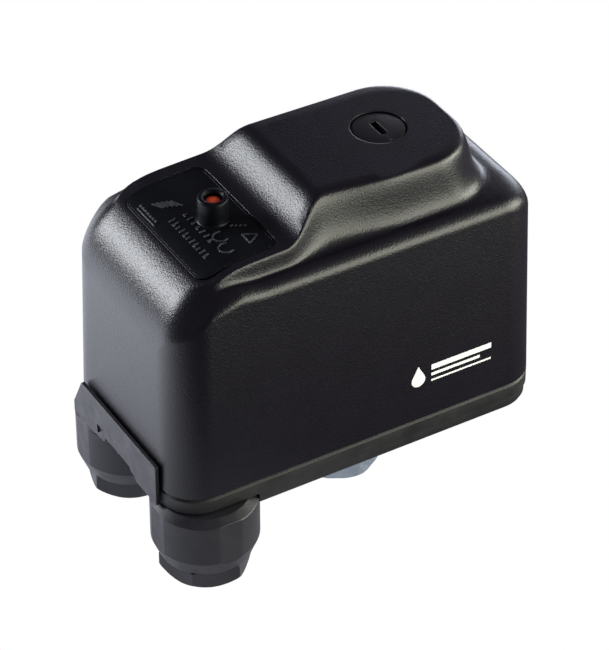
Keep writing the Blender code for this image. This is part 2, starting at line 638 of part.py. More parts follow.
def make_chassis():
    tail, wide = 8.2, 18.0
    outline = [(CASE_X + 46, -wide), (CASE_X + 46, wide), (CASE_X - 28, wide), (CASE_X - 28, tail),
               (CASE_X - 45.5, tail), (CASE_X - 45.5, -tail), (CASE_X - 28, -tail), (CASE_X - 28, -wide)]
    chassis = flat_piece("chassis", outline, CHASSIS_Z0, CHASSIS_Z1, STEEL)
    for side in (-1, 1):
        near, far = sorted((side * 12.3, side * 13.8))
        ear = flat_piece(f"ear_{side}", [(PIVOT_X - 7, CHASSIS_Z1 - 0.7), (PIVOT_X + 4, CHASSIS_Z1 - 0.7),
                                         *arc(PIVOT_X, PIVOT_Z, 4.0, 0, 180, 8)], near, far, axis="Y")
        join(chassis, ear)
    cut(
        chassis,
        rod("pivot_hole", 1.8, -20, 20, at=(PIVOT_X, 0, PIVOT_Z), axis="Y", sides=16),
        rod("plunger_way", 11.0, 20, 30, at=(PORT_X, 0, 0), sides=28),
        rod("main_stud_hole", 2.85, 20, 30, at=(POST_X, 0, 0), sides=16),
        rod("diff_stud_hole", 2.35, 20, 30, at=(DIFF_X, 0, 0), sides=16),
    )
    for i, at in enumerate(flange_screw_places()):
        cut(chassis, rod(f"chassis_hole_{i}", 2.1, 20, 30, at=at, sides=10))
    for i, at in enumerate(block_screw_places() + earth_screw_places()):
        cut(chassis, rod(f"fixing_hole_{i}", 1.8, 20, 30, at=at, sides=10))


def make_lever():
    half, flange = 9.0, 1.2
    lever = flat_piece("main_lever", rounded_rectangle(LEVER_X0, PIVOT_X + 3.2, half, 1.5, 2), LEVER_Z0, LEVER_Z1,
                       STEEL)
    for side in (-1, 1):
        near, far = sorted((side * half, side * (half - flange)))
        web = flat_piece(f"web_{side}", [(CASE_X + 2, LEVER_Z1 - 0.4), (CASE_X + 8, 34.2),
                                         *arc(PIVOT_X, PIVOT_Z, 3.2, 225, 360, 6), (PIVOT_X + 3.2, LEVER_Z1 - 0.4)],
                         near, far, axis="Y")
        join(lever, web)
    cut(
        lever,
        rod("lever_hole", 1.8, -20, 20, at=(PIVOT_X, 0, PIVOT_Z), axis="Y", sides=16),
        rod("main_stud_way", 3.4, 30, 45, at=(POST_X, 0, 0), sides=20),
        rod("diff_stud_way", 2.9, 30, 45, at=(DIFF_X, 0, 0), sides=20),
    )
    turned_pin("lever_pin", 1.5, -14.4, 16.0, 2.6, (PIVOT_X, 0, PIVOT_Z))
    clip = turned("lever_pin_clip", [(1.8, 14.9), (3.2, 14.9), (3.2, 14.2), (1.8, 14.2)], STEEL,
                  (PIVOT_X, 0, PIVOT_Z), 16)
    clip.rotation_euler = (math.radians(-90), 0, 0)


def turned_pin(name, radius, y0, y1, head_r, at):
    """A plain pin along Y, with a head at its front end."""
    pin = turned(name, [(0, y1), (radius, y1), (radius, y0), (head_r, y0), (head_r, y0 - 1.0), (0, y0 - 1.0)],
                 STEEL, at, 16)
    pin.rotation_euler = (math.radians(-90), 0, 0)
    return pin


def make_spring_set(name, x, stud_r, stud_top, spring_r, wire, top, plate_r, nut_r, turns):
    """A stud with its spring over the lever, and the plate and nut that press the spring down."""
    at = (x, 0, 0)
    collar = stud_r + 1.6
    turned(f"{name}_stud", [(0, stud_top), (stud_r - 0.4, stud_top), (stud_r, stud_top - 0.5),
                            (stud_r, 28.0), (collar, 28.0), (collar, CHASSIS_Z1 + GAP), (stud_r, CHASSIS_Z1 + GAP),
                            (stud_r, CHASSIS_Z0 + 0.1), (0, CHASSIS_Z0 + 0.1)], STEEL, at, 18)
    coil(f"{name}_spring", at, spring_r, wire, LEVER_Z1 + GAP, top, turns)
    turned(f"{name}_spring_plate", [(stud_r + 0.35, top + 2.4), (stud_r + 1.6, top + 2.4), (stud_r + 1.9, top + 1.9),
                                    (plate_r, top + 1.9), (plate_r, top + GAP), (stud_r + 0.35, top + GAP)],
           STEEL, at, 20)
    nut_z = top + 2.4 + GAP
    nut = rod(f"{name}_spring_nut", nut_r, nut_z, nut_z + 1.9 * stud_r, BRASS, at, sides=6)
    cut(nut, rod(f"{name}_nut_bore", stud_r + 0.35, 30, 90, at=at, sides=18))


# ---------------------------------------------------------------- contact block

def block_screw_places():
    return [(CASE_X - 24.0, y, 0) for y in (-14.4, 14.4)]


def earth_screw_places():
    return [(CASE_X - 42.0, y, 0) for y in (-4.6, 4.6)]


def make_contact_block():
    base_z = CHASSIS_Z1 + GAP
    block = box("contact_block", (BLOCK_X0, -12.9, base_z), (BLOCK_X1, 12.9, BLOCK_Z1), IVORY_PLASTIC)
    join(block, box("block_wings", (CASE_X - 27, -17.0, base_z), (BLOCK_X1 - 0.2, 17.0, BLOCK_Z1 - 0.4)))
    for side in (-1, 1):
        near, far = sorted((side * 13.4, side * 15.2))
        join(block, flat_piece(f"post_{side}", [(ROCKER_X - 3.4, 34), (ROCKER_X + 3.4, 34),
                                                *arc(ROCKER_X, RESET_Z, 2.9, 0, 180, 8)], near, far, axis="Y"))
    for y in (-6.4, 0.0, 6.4):
        join(block, box(f"barrier_{y:.0f}", (BLOCK_X0, y - 0.3, 34), (CASE_X - 28.8, y + 0.3, 41)))
    cut(
        block,
        rod("rocker_pin_hole", 1.5, -20, 20, at=(ROCKER_X, 0, ROCKER_Z), axis="Y", sides=12),
        rod("reset_pin_hole", 1.5, -20, 20, at=(ROCKER_X, 0, RESET_Z), axis="Y", sides=12),
    )
    for i, at in enumerate(block_screw_places()):
        cut(block, rod(f"block_hole_{i}", 1.8, 20, 40, at=at, sides=10))
        slotted_screw(f"block_screw_{i + 1}", at, 2.4, (BLOCK_Z1 + GAP, BLOCK_Z1 + 2.1), 1.5, 25.0)
    for i, y in enumerate(POLES):
        at = (TERMINAL_SCREW_X, y, 0)
        cut(block, rod(f"terminal_hole_{i}", 2.0, 30.2, 40, at=at, sides=10))
        slotted_screw(f"terminal_screw_{i + 1}", at, 2.55, (37.4, 39.4), 1.6, 31.0)
        make_fixed_contact(f"fixed_contact_{i + 1}", y)


def make_fixed_contact(name, y):
    strip = box(name, (BLOCK_X0 + 0.6, y - 2.3, 36.3), (CASE_X - 23.5, y + 2.3, 37.1), BRASS)
    join(strip, rod(name + "_tip", 1.6, 36.9, 38.5, at=(CASE_X - 25.2, y, 0), sides=16))
    cut(strip, rod(name + "_hole", 1.95, 30, 40, at=(TERMINAL_SCREW_X, y, 0), sides=10))


def make_rocker():
    x, z = ROCKER_X, ROCKER_Z
    outline = [(x - 11, 42.4), (x - 4, 42.4), *arc(x, z, 3.2, 225, 285, 3), (x + 5.2, 44.4), (x + 6.1, 39.2),
               (x + 7.5, 39.2), (x + 7.9, 45.6), (x + 2.6, 48.6), *arc(x, z, 3.2, 60, 130, 3), (x - 11, 44.4)]
    rocker = flat_piece("contact_rocker", outline, -12.0, 12.0, RED_PLASTIC, axis="Y")
    cut(rocker, rod("rocker_bore", 1.5, -20, 20, at=(x, 0, z), axis="Y", sides=12))
    cut(rocker, box("rocker_window", (x + 4.5, 5.0, 36), (x + 9, 20, 50)),
        box("rocker_window_2", (x + 4.5, -20.0, 36), (x + 9, -5, 50)))
    turned_pin("rocker_pin", 1.2, -15.6, 16.0, 2.0, (x, 0, z))
    for i, y in enumerate((-6.4, 6.4)):
        bridge = box(f"contact_bridge_{i + 1}", (CASE_X - 27.0, y - 5.2, 41.3), (CASE_X - 23.4, y + 5.2, 42.1), BRASS)
        for dy in (-3.2, 3.2):
            join(bridge, rod(f"bridge_tip_{i}_{dy:.0f}", 1.5, 40.8, 41.6, at=(CASE_X - 25.2, y + dy, 0), sides=12))
    coil("rocker_spring", (CASE_X - 20.6, 0, 0), 1.7, 0.25, BLOCK_Z1 + GAP, 42.1, 4)


def make_reset_lever():
    x, z = ROCKER_X, RESET_Z
    lever = flat_piece("reset_lever", [(x - 11, 50.2), (x - 9.4, 50.2), (x - 8.8, 57.0), (x, 57.0), (x, 59.0),
                                       (x - 11, 59.0)], -3.0, 3.0, IVORY_PLASTIC, axis="Y")
    join(lever, rod("reset_hub", 2.4, -13.0, 13.0, at=(x, 0, z), axis="Y", sides=20))
    cut(lever, rod("reset_bore", 1.5, -20, 20, at=(x, 0, z), axis="Y", sides=12))
    turned_pin("reset_lever_pin", 1.2, -15.6, 16.0, 2.0, (x, 0, z))


def make_earth_terminal():
    plate = box("earth_plate", (CASE_X - 45, -7.6, CHASSIS_Z1 + GAP), (CASE_X - 39, 7.6, 27.7), BRASS)
    for i, at in enumerate(earth_screw_places()):
        cut(plate, rod(f"earth_hole_{i}", 1.8, 20, 40, at=at, sides=10))
        slotted_screw(f"earth_screw_{i + 1}", at, 2.7, (28.0, 30.0), 1.5, 24.9)


# ---------------------------------------------------------------- assembly

make_cover()
make_cover_fittings()
make_tray()
make_bar()
make_gland(-1, "front")
make_gland(1, "rear")
make_pressure_side()
make_chassis()
make_lever()
make_spring_set("main", POST_X, 2.5, 84.5, 7.0, 1.1, MAIN_SPRING_Z1, 9.0, 5.8, 6)
make_spring_set("diff", DIFF_X, 2.0, 68.0, 3.8, 0.55, DIFF_SPRING_Z1, 5.4, 4.1, 6)
make_contact_block()
make_rocker()
make_reset_lever()
make_earth_terminal()
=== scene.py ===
"""Looks for the pressure switch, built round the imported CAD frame.

Sizes below are in millimetres unless a name ends in _M, and angles in degrees. Every visible piece
rides on the CAD body that it belongs to, so the cover lifts, the button presses and the nuts turn
with their joints.
"""

import math

import bmesh
import bpy
from mathutils import Matrix, Vector


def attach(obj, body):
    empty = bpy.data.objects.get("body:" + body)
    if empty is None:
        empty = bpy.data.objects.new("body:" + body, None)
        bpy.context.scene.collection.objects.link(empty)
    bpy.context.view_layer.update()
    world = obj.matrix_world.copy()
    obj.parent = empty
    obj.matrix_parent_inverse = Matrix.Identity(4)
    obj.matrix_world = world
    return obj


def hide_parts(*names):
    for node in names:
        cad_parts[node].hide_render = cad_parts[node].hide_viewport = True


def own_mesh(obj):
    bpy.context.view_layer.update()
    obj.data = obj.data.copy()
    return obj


MM = 0.001

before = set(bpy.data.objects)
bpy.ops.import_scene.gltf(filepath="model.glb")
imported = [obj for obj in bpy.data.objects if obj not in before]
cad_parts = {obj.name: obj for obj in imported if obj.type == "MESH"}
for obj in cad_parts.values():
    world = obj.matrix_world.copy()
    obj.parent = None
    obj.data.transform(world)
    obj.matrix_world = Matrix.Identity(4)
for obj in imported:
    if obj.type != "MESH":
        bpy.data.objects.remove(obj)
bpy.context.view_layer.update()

# ---------------------------------------------------------------- sizes, as in the CAD part

CASE_X = 0.7
CASE_LENGTH, CASE_WIDTH, CORNER, DRAFT, WALL = 100.0, 54.5, 9.5, 0.024, 2.2
SPLIT_Z = 27.0
X0, X1, HALF = CASE_X - CASE_LENGTH / 2, CASE_X + CASE_LENGTH / 2, CASE_WIDTH / 2
LEDGE = 54.0
SIDE_ROUND, END_ROUND, GLAND_END_ROUND = 3.7, 7.0, 19.8
DECK_SLOPE, DECK_TOP = 0.04, 58.55
RAMP_X0, RAMP_X1 = CASE_X - 17.9, CASE_X - 5.5
PLATEAU, PLATEAU_FALL = 66.5, 0.012
DECK_HALF, PLATEAU_HALF, FRONT_BULGE = 21.2, 15.7, 2.6
PLATEAU_X1, PLATEAU_CORNERS = CASE_X + 36.1, (15.0, 13.5)
GLAND_END_RISE, LEAST_RUN, CORNER_BLEND = 3.5, 0.8, 6.0
GLAND_CORNER_CUT, GLAND_CORNER_GAIN, FAR_CORNER_GAIN = 0.9, 3.0, 1.5
LEDGE_LIFT_X0, LEDGE_LIFT_RUN = X0 + 8.0, 17.0
END_SWELL, END_SWELL_RUN, BULGE_RUN = 6.5, 15.0, 20.0
CORNER_DROP, CORNER_DROP_RUN, CORNER_DROP_Y, CORNER_DROP_WIDTH = 0.092, 24.0, 17.8, 8.0
FOOT, CREST = 0.75, 0.55  # handles of the rise's curve: a wide hollow at its foot, a tighter crest
RAMP_FOOT, RAMP_CREST = 0.5, 0.62
POST_X = CASE_X + 19.4
CAP_R, CAP_Z = 6.35, 90.4
CAP_SLOT_WIDTH, CAP_SLOT_LENGTH, CAP_SLOT_DEPTH = 1.9, 5.6, 2.2
CAP_GAP, CAP_HOLE_R = 0.35, 4.85
BOSS_R, BOSS_LOW, BOSS_HIGH = 9.2, 84.0, 91.5
CAP_TOP = SPLIT_Z + PLATEAU - PLATEAU_FALL * (POST_X - RAMP_X1) - 0.2
PLATE_X, PLATE_Y, PLATE_LENGTH, PLATE_WIDTH = CASE_X - 28.4, -0.7, 20.6, 36.4
PLATE_CORNER, PLATE_SUNK, PLATE_UNDERSIDE, PLATE_GAP = 3.0, 0.1, 0.7, 0.12
BUTTON = (CASE_X - 25.7, -2.0, 0.0)
BUTTON_TRAVEL, BUTTON_SUNK, PIN_HEAD, BUTTON_HOLE_R = 1.5, 0.9, 1.9, 2.6
COLLAR_R, COLLAR_TOP, COLLAR_FILLET, COLLAR_FOOT = 3.65, 91.2, 1.1, 84.85
TRAY_Z, BAND_Z, FLOOR_TOP, TRAY_WALL = 19.6, 22.8, 24.4, 2.0
PLUNGER_HOLE_R, GLAND_HOLE_R = 11.0, 5.95
GLAND_X, GLAND_Y, GLAND_R, GLAND_FLAT, GLAND_GAP = CASE_X - 38.8, 18.7, 12.95, 12.6, 0.06
NUT_FLATS = 11.43 * math.sqrt(3)
BAR_X, BAR_THICKNESS, BAR_HALF, BAR_Z0, BAR_Z1 = CASE_X - 51.3, 0.9, 18.3, 22.7, 33.9
TONGUE_Y = (-9, 9)
PORT_X, FLANGE_R, PORT_FLATS, PORT_BORE_R = CASE_X + 8.5, 20.5, 20.0, 5.8
THREAD_RINGS, THREAD_PITCH, THREAD_FLANK, THREAD_DEPTH, THREAD_TOP = 10, 1.15, 0.57, 0.45, 12.0
SCREW_CIRCLE_R, SCREW_HOLE_R = 16.6, 2.1
DIFF_X = CASE_X - 1.5
LEVER_PIVOT_X, LEVER_TILT_DEG, LEVER_TOP = CASE_X + 41.0, 2.5, 39.0
ROCKER_SPRING_X, ROCKER_SPRING_FOOT, BUTTON_SPRING_FOOT = CASE_X - 20.4, 36.3, 85.2
UNDER_TOP, OVER_TOP = 70, 99  # heights clear below and above the cover's top, for cutters
UNDER_TRAY, OVER_TRAY = 15, 30  # and of the tray's floor


# ---------------------------------------------------------------- materials

class Look:
    """A Principled material with procedural colour, roughness and surface relief."""

    def __init__(self, name, roughness, metallic=0.0, specular=0.5):
        self.material = bpy.data.materials.new(name)
        self.material.use_nodes = True
        self.tree = self.material.node_tree
        self.shader = self.tree.nodes["Principled BSDF"]
        self.shader.inputs["Roughness"].default_value = roughness
        self.shader.inputs["Metallic"].default_value = metallic
        self.shader.inputs["Specular IOR Level"].default_value = specular
        self.shader.inputs["IOR"].default_value = 1.5
        self.coords = self.tree.nodes.new("ShaderNodeTexCoord").outputs["Object"]

    def node(self, kind, **inputs):
        made = self.tree.nodes.new(kind)
        for key, value in inputs.items():
            made.inputs[key.replace("_", " ")].default_value = value
        return made

    def link(self, out, into):
        self.tree.links.new(out, into)

    def noise(self, size, stretch=(1, 1, 1), detail=3.0):
        """Noise whose features are about this many millimetres across."""
        mapping = self.node("ShaderNodeMapping")
        mapping.inputs["Scale"].default_value = [s / (size * MM) for s in stretch]
        self.link(self.coords, mapping.inputs["Vector"])
        noise = self.node("ShaderNodeTexNoise", Scale=1.0, Detail=detail, Roughness=0.55)
        self.link(mapping.outputs["Vector"], noise.inputs["Vector"])
        return noise.outputs["Fac"]

    def colour(self, first, second, size):
        """A cloudy mix of two close colours, in patches of this size."""
        ramp = self.node("ShaderNodeValToRGB")
        ramp.color_ramp.elements[0].position = 0.35
        ramp.color_ramp.elements[1].position = 0.65
        ramp.color_ramp.elements[0].color = (*first, 1)
        ramp.color_ramp.elements[1].color = (*second, 1)
        self.link(self.noise(size), ramp.inputs["Fac"])
        self.link(ramp.outputs["Color"], self.shader.inputs["Base Color"])
        return self

    def rough(self, low, high, size, stretch=(1, 1, 1)):
        """Roughness that drifts between two values."""
        spread = self.node("ShaderNodeMapRange")
        spread.inputs["From Min"].default_value = 0.3
        spread.inputs["From Max"].default_value = 0.7
        spread.inputs["To Min"].default_value = low
        spread.inputs["To Max"].default_value = high
        self.link(self.noise(size, stretch), spread.inputs["Value"])
        self.link(spread.outputs["Result"], self.shader.inputs["Roughness"])
        return self

    def relief(self, size, depth, strength=1.0, stretch=(1, 1, 1), edge=0.0):
        """Surface grain of this size and depth, over edges softened by the edge radius."""
        bump = self.node("ShaderNodeBump", Strength=strength)
        bump.inputs["Distance"].default_value = depth * MM
        self.link(self.noise(size, stretch, detail=2.0), bump.inputs["Height"])
        if edge:
            soft = self.node("ShaderNodeBevel")
            soft.inputs["Radius"].default_value = edge * MM
            soft.samples = 6
            self.link(soft.outputs["Normal"], bump.inputs["Normal"])
        self.link(bump.outputs["Normal"], self.shader.inputs["Normal"])
        return self


CASE = Look("case_grain", 0.30).colour((0.0044, 0.0034, 0.0066), (0.0056, 0.0045, 0.0084), 9)
CASE.rough(0.28, 0.32, 0.8).relief(0.44, 0.075, 1.0, edge=0.30)
CAP = Look("cap_fine_grain", 0.42).colour((0.0052, 0.0045, 0.0068), (0.0070, 0.0062, 0.0088), 6)
CAP.rough(0.34, 0.40, 0.8).relief(0.30, 0.030, 0.6, edge=0.22)
PLATE = Look("plate_blue_black", 0.36, specular=0.16)
PLATE.colour((0.0036, 0.0042, 0.0060), (0.0052, 0.0062, 0.0086), 7)
PLATE.rough(0.33, 0.39, 1.2).relief(0.9, 0.010, 0.35, edge=0.25)
# The raised marks' light grey colour is a painted glint on the plate's raised lettering.
MARK = Look("raised_mark_painted_glint", 0.34).colour((0.040, 0.042, 0.048), (0.085, 0.088, 0.096), 1.0)
MARK.rough(0.28, 0.42, 1.2).relief(0.4, 0.010, 0.4, edge=0.1)
TRAY = Look("tray_grey", 0.5).colour((0.0150, 0.0145, 0.0165), (0.0210, 0.0205, 0.0230), 8)
TRAY.rough(0.42, 0.56, 4).relief(0.5, 0.030, 0.7, edge=0.25)
GLAND = Look("gland_polyamide", 0.40).colour((0.014, 0.013, 0.018), (0.021, 0.020, 0.026), 7)
GLAND.rough(0.34, 0.48, 3).relief(0.6, 0.018, 0.5, edge=0.3)
RED = Look("button_red", 0.34).colour((0.80, 0.075, 0.020), (0.88, 0.110, 0.030), 1.5)
RED.rough(0.28, 0.40, 1).relief(0.4, 0.010, 0.4, edge=0.15)
ROCKER_RED = Look("rocker_red", 0.38).colour((0.52, 0.045, 0.018), (0.62, 0.060, 0.024), 5)
ROCKER_RED.rough(0.32, 0.46, 3).relief(0.5, 0.015, 0.5, edge=0.2)
IVORY = Look("ivory_thermoset", 0.45).colour((0.55, 0.50, 0.38), (0.66, 0.61, 0.48), 5)
IVORY.rough(0.38, 0.52, 3).relief(0.5, 0.015, 0.5, edge=0.2)
RUBBER = Look("nitrile_rubber", 0.7).colour((0.016, 0.016, 0.016), (0.026, 0.026, 0.026), 4)
RUBBER.rough(0.6, 0.78, 2).relief(0.4, 0.020, 0.6)
ZINC = Look("zinc_plating", 0.34, 1.0).colour((0.60, 0.70, 0.78), (0.72, 0.80, 0.87), 4)
ZINC.rough(0.26, 0.42, 2).relief(0.7, 0.012, 0.5, edge=0.2)
STEEL = Look("sheet_steel", 0.32, 1.0).colour((0.46, 0.47, 0.49), (0.58, 0.59, 0.61), 5)
STEEL.rough(0.24, 0.40, 1.6, stretch=(0.2, 1, 1))
STEEL.relief(0.35, 0.008, 0.5, stretch=(0.1, 1, 1), edge=0.15)
WIRE = Look("spring_wire", 0.28, 1.0).colour((0.34, 0.35, 0.38), (0.46, 0.47, 0.50), 2)
WIRE.rough(0.20, 0.36, 0.8, stretch=(1, 1, 3)).relief(0.3, 0.006, 0.4)
BRASS = Look("brass", 0.3, 1.0).colour((0.66, 0.47, 0.20), (0.78, 0.58, 0.28), 3)
BRASS.rough(0.22, 0.38, 1.5).relief(0.4, 0.008, 0.4, edge=0.12)
INK = Look("white_ink", 0.5).colour((0.92, 0.92, 0.94), (0.98, 0.98, 1.0), 2)
INK.rough(0.44, 0.58, 1.5).relief(0.42, 0.015, 0.5)


# ---------------------------------------------------------------- mesh helpers

def made(name, bm, at=(0, 0, 0)):
    """An object from a bmesh in millimetres."""
    mesh = bpy.data.meshes.new(name)
    bm.to_mesh(mesh)
    bm.free()
    mesh.transform(Matrix.Scale(MM, 4) @ Matrix.Translation(at))
    obj = bpy.data.objects.new(name, mesh)
    bpy.context.scene.collection.objects.link(obj)
    return obj


def box(name, low, high, at=(0, 0, 0)):
    bm = bmesh.new()
    bmesh.ops.create_cube(bm, size=1.0)
    bmesh.ops.scale(bm, vec=[b - a for a, b in zip(low, high)], verts=bm.verts)
    bmesh.ops.translate(bm, vec=[(a + b) / 2 for a, b in zip(low, high)], verts=bm.verts)
    return made(name, bm, at)


def turned(name, profile, at=(0, 0, 0), steps=72):
    """A turned piece from (radius, z) points that run down its outer side. It starts and ends on the
    axis, or is a closed loop round a bore."""
    bm = bmesh.new()
    closed = profile[0][0] > 0
    turns = [2 * math.pi * i / steps for i in range(steps)]
    rings = []
    for r, z in profile:
        if r == 0:
            rings.append([bm.verts.new((0, 0, z))])
            continue
        rings.append([bm.verts.new((r * math.cos(a), r * math.sin(a), z)) for a in turns])
    pairs = list(zip(rings, rings[1:]))
    if closed:
        pairs.append((rings[-1], rings[0]))
    for upper, lower in pairs:
        for i in range(steps):
            j = (i + 1) % steps
            face = list(dict.fromkeys((upper[i % len(upper)], lower[i % len(lower)],
                                       lower[j % len(lower)], upper[j % len(upper)])))
            if len(face) > 2:
                bm.faces.new(face)
    bmesh.ops.recalc_face_normals(bm, faces=bm.faces)
    return made(name, bm, at)


def rod(name, radius, low, high, at, steps=72):
    """A plain round bar, mostly to cut a hole with."""
    return turned(name, [(0, high), (radius, high), (radius, low), (0, low)], at, steps)


def lofted(name, loops, at=(0, 0, 0)):
    """A closed piece through matching loops of points, from the first loop to the last."""
    bm = bmesh.new()
    rings = [[bm.verts.new(point) for point in loop] for loop in loops]
    bm.faces.new(rings[0])
    bm.faces.new(rings[-1])
    for low, high in zip(rings, rings[1:]):
        for i in range(len(low)):
            j = (i + 1) % len(low)
            bm.faces.new((low[i], low[j], high[j], high[i]))
    bmesh.ops.recalc_face_normals(bm, faces=bm.faces)
    return made(name, bm, at)


def prism(name, outline, low, high, at=(0, 0, 0)):
    """An outline in (x, y), extruded along Z."""
    return lofted(name, [[(x, y, z) for x, y in outline] for z in (low, high)], at)


def cross_prism(name, outline, low, high):
    """An outline in (y, z), extruded along X."""
    return lofted(name, [[(x, y, z) for y, z in outline] for x in (low, high)])


def arc(cx, cy, radius, start, end, steps):
    """Points along an arc, from its start to its end."""
    turn = [math.radians(start + (end - start) * i / steps) for i in range(steps + 1)]
    return [(cx + radius * math.cos(a), cy + radius * math.sin(a)) for a in turn]


def rounded_rectangle(x0, x1, half, radius, steps=14):
    return (arc(x1 - radius, half - radius, radius, 0, 90, steps)
            + arc(x0 + radius, half - radius, radius, 90, 180, steps)
            + arc(x0 + radius, radius - half, radius, 180, 270, steps)
            + arc(x1 - radius, radius - half, radius, 270, 360, steps))


def hexagon(flats, turn):
    """A hexagon this far across its flats, from six corners on one circle."""
    return arc(0, 0, flats / math.sqrt(3), turn, turn + 300, 5)


def boolean(obj, operation, others):
    """Applies the Booleans and removes the other objects."""
    for other in others:
        step = obj.modifiers.new(operation, "BOOLEAN")
        step.operation = operation
        step.object = other
        step.solver = "EXACT"
    settle(obj)
    for other in others:
        bpy.data.objects.remove(other, do_unlink=True)


def settle(obj):
    """Replaces the object's mesh by what its modifiers make of it."""
    bpy.context.view_layer.update()
    graph = bpy.context.evaluated_depsgraph_get()
    mesh = bpy.data.meshes.new_from_object(obj.evaluated_get(graph))
    obj.modifiers.clear()
    obj.data = mesh


def dress(obj, look, body, replaces=(), angle=35):
    """Gives a piece its material and shading, and puts it on its body."""
    obj.data.materials.clear()
    obj.data.materials.append(look.material)
    obj.data.shade_smooth()
    obj.data.set_sharp_from_angle(angle=math.radians(angle))
    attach(obj, body)
    if replaces:
        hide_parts(*replaces)


# ---------------------------------------------------------------- cover

ARC_STEPS, END_SEGMENTS, ROUND_RINGS, RISE_RINGS = 12, 12, 9, 14
STATIONS = [CASE_X - 32.0 + i for i in range(47)]
CURVE_STEPS = 40
RIM = 0.25  # how far the cover's rim stands above the parting plane, for the split line's gap


def smooth(t):
    """An S-shaped rise from 0 at t = 0 to 1 at t = 1."""
    t = min(max(t, 0.0), 1.0)
    return t * t * (3 - 2 * t)


def handle_curve(t, foot, crest):
    """How far along its run an S-shaped rise is, for the handles at its foot and crest."""
    return 3 * (1 - t) ** 2 * t * foot + 3 * (1 - t) * t * t * crest + t ** 3


def ramp_rise(s):
    """Share of the ramp's height at a share s of its run."""
    if s <= 0 or s >= 1:
        return min(max(s, 0.0), 1.0)
    low, high = 0.0, 1.0
    for _ in range(CURVE_STEPS):
        middle = (low + high) / 2
        if handle_curve(middle, RAMP_FOOT, RAMP_CREST) < s:
            low = middle
        else:
            high = middle
    return smooth(low)


def top_height(x):
    """Height of the cover's top along its middle, above the parting plane."""
    deck = DECK_TOP + DECK_SLOPE * (x - RAMP_X0)
    plateau = PLATEAU - PLATEAU_FALL * (x - RAMP_X1)
    return deck + (plateau - deck) * ramp_rise((x - RAMP_X0) / (RAMP_X1 - RAMP_X0))


def gland_end_height(x):
    """The same, with the large rounding at the gland end."""
    lean = math.atan(DECK_SLOPE)
    centre_x = X0 + DRAFT * (DECK_TOP - GLAND_END_ROUND) + GLAND_END_ROUND
    meet_x = centre_x - GLAND_END_ROUND * math.sin(lean)
    if x >= meet_x:
        return top_height(x)
    centre_z = DECK_TOP + DECK_SLOPE * (meet_x - RAMP_X0) - GLAND_END_ROUND * math.cos(lean)
    return centre_z + math.sqrt(max(GLAND_END_ROUND ** 2 - (centre_x - x) ** 2, 0.0))


def soft_min(a, b, width):
    """The lesser of two values, with the change from one to the other rounded over this width."""
    apart = abs(a - b)
    if apart >= width:
        return min(a, b)
    return min(a, b) - (width - apart) ** 2 / (4 * width)


def wall_points(x0, x1, half, left_r, right_corners, face):
    """The front wall of a ring, face -1, or the back one, face 1, with its two corners."""
    points = []
    right_r = right_corners[face > 0]
    for i in range(ARC_STEPS + 1):
        a = math.radians(180 + 90 * i / ARC_STEPS)
        x = x0 + left_r + left_r * math.cos(a)
        points.append((x, face * (half(x, face) - left_r - left_r * math.sin(a)), math.cos(a)))
    for x in STATIONS:
        points.append((x, face * half(x, face), 0.0))
    for i in range(ARC_STEPS + 1):
        a = math.radians(270 + 90 * i / ARC_STEPS)
        x = x1 - right_r + right_r * math.cos(a)
        points.append((x, face * (half(x, face) - right_r - right_r * math.sin(a)), math.cos(a)))
    return points


def end_points(x, y0, y1, side):
    """The points across one end, between its two corners."""
    return [(x, y0 + (y1 - y0) * i / END_SEGMENTS, side) for i in range(1, END_SEGMENTS)]


def case_ring(x0, x1, half, left_r, right_corners, height):
    """One ring of the cover's outside, and how many of its points are the front wall's."""
    front = wall_points(x0, x1, half, left_r, right_corners, -1)
    back = wall_points(x0, x1, half, left_r, right_corners, 1)
    ring = front + end_points(x1, front[-1][1], back[-1][1], 1.0)
    ring += back[::-1] + end_points(x0, back[0][1], front[0][1], -1.0)
    points = [(x, y, SPLIT_Z + height(x, side) * (1 - corner_drop(x, y))) for x, y, side in ring]
    return points, len(front)


def corner_drop(x, y):
    """The share of its height that the top loses here, towards the gland end's two corners."""
    return (CORNER_DROP * smooth((abs(y) - CORNER_DROP_Y) / CORNER_DROP_WIDTH)
            * (1 - smooth((x - X0) / CORNER_DROP_RUN)))


def ledge_lift(x):
    """How far the ledge stands up towards the gland end, where it runs out into the deck."""
    return (DECK_TOP - LEDGE) * (1 - smooth((x - LEDGE_LIFT_X0) / LEDGE_LIFT_RUN))


def side_round(x):
    """Radius of the long edges' rounding, which swells towards the gland end."""
    return SIDE_ROUND + END_SWELL * (1 - smooth((x - X0) / END_SWELL_RUN))


def ring_height(x, side, front, right, width):
    """A ring's height at x, between its height along the walls and the one at the far end."""
    across = front + (right - front) * side * side if side > 0 else front
    return soft_min(across, gland_end_height(x), width)


def round_section(t):
    """The ends, the half width, the corners and the heights of one ring of the edge rounding, from
    t = 0 at its foot to t = 1 on the ledge."""
    turn = t * math.pi / 2
    end_top = LEDGE - END_ROUND
    inset = SIDE_ROUND * (1 - math.cos(turn))
    x0 = X0 + DRAFT * (DECK_TOP - GLAND_END_ROUND) + inset
    x1 = X1 - DRAFT * end_top - END_ROUND * (1 - math.cos(turn))

    def half(x, face):
        return HALF - DRAFT * (LEDGE - SIDE_ROUND) - side_round(x) * (1 - math.cos(turn))

    def front(x):
        return LEDGE + ledge_lift(x) - side_round(x) * (1 - math.sin(turn))

    left_r = CORNER - GLAND_CORNER_CUT * inset + GLAND_CORNER_GAIN * t
    right_r = CORNER + FAR_CORNER_GAIN * t
    return x0, x1, half, left_r, right_r, (front, end_top + END_ROUND * math.sin(turn))


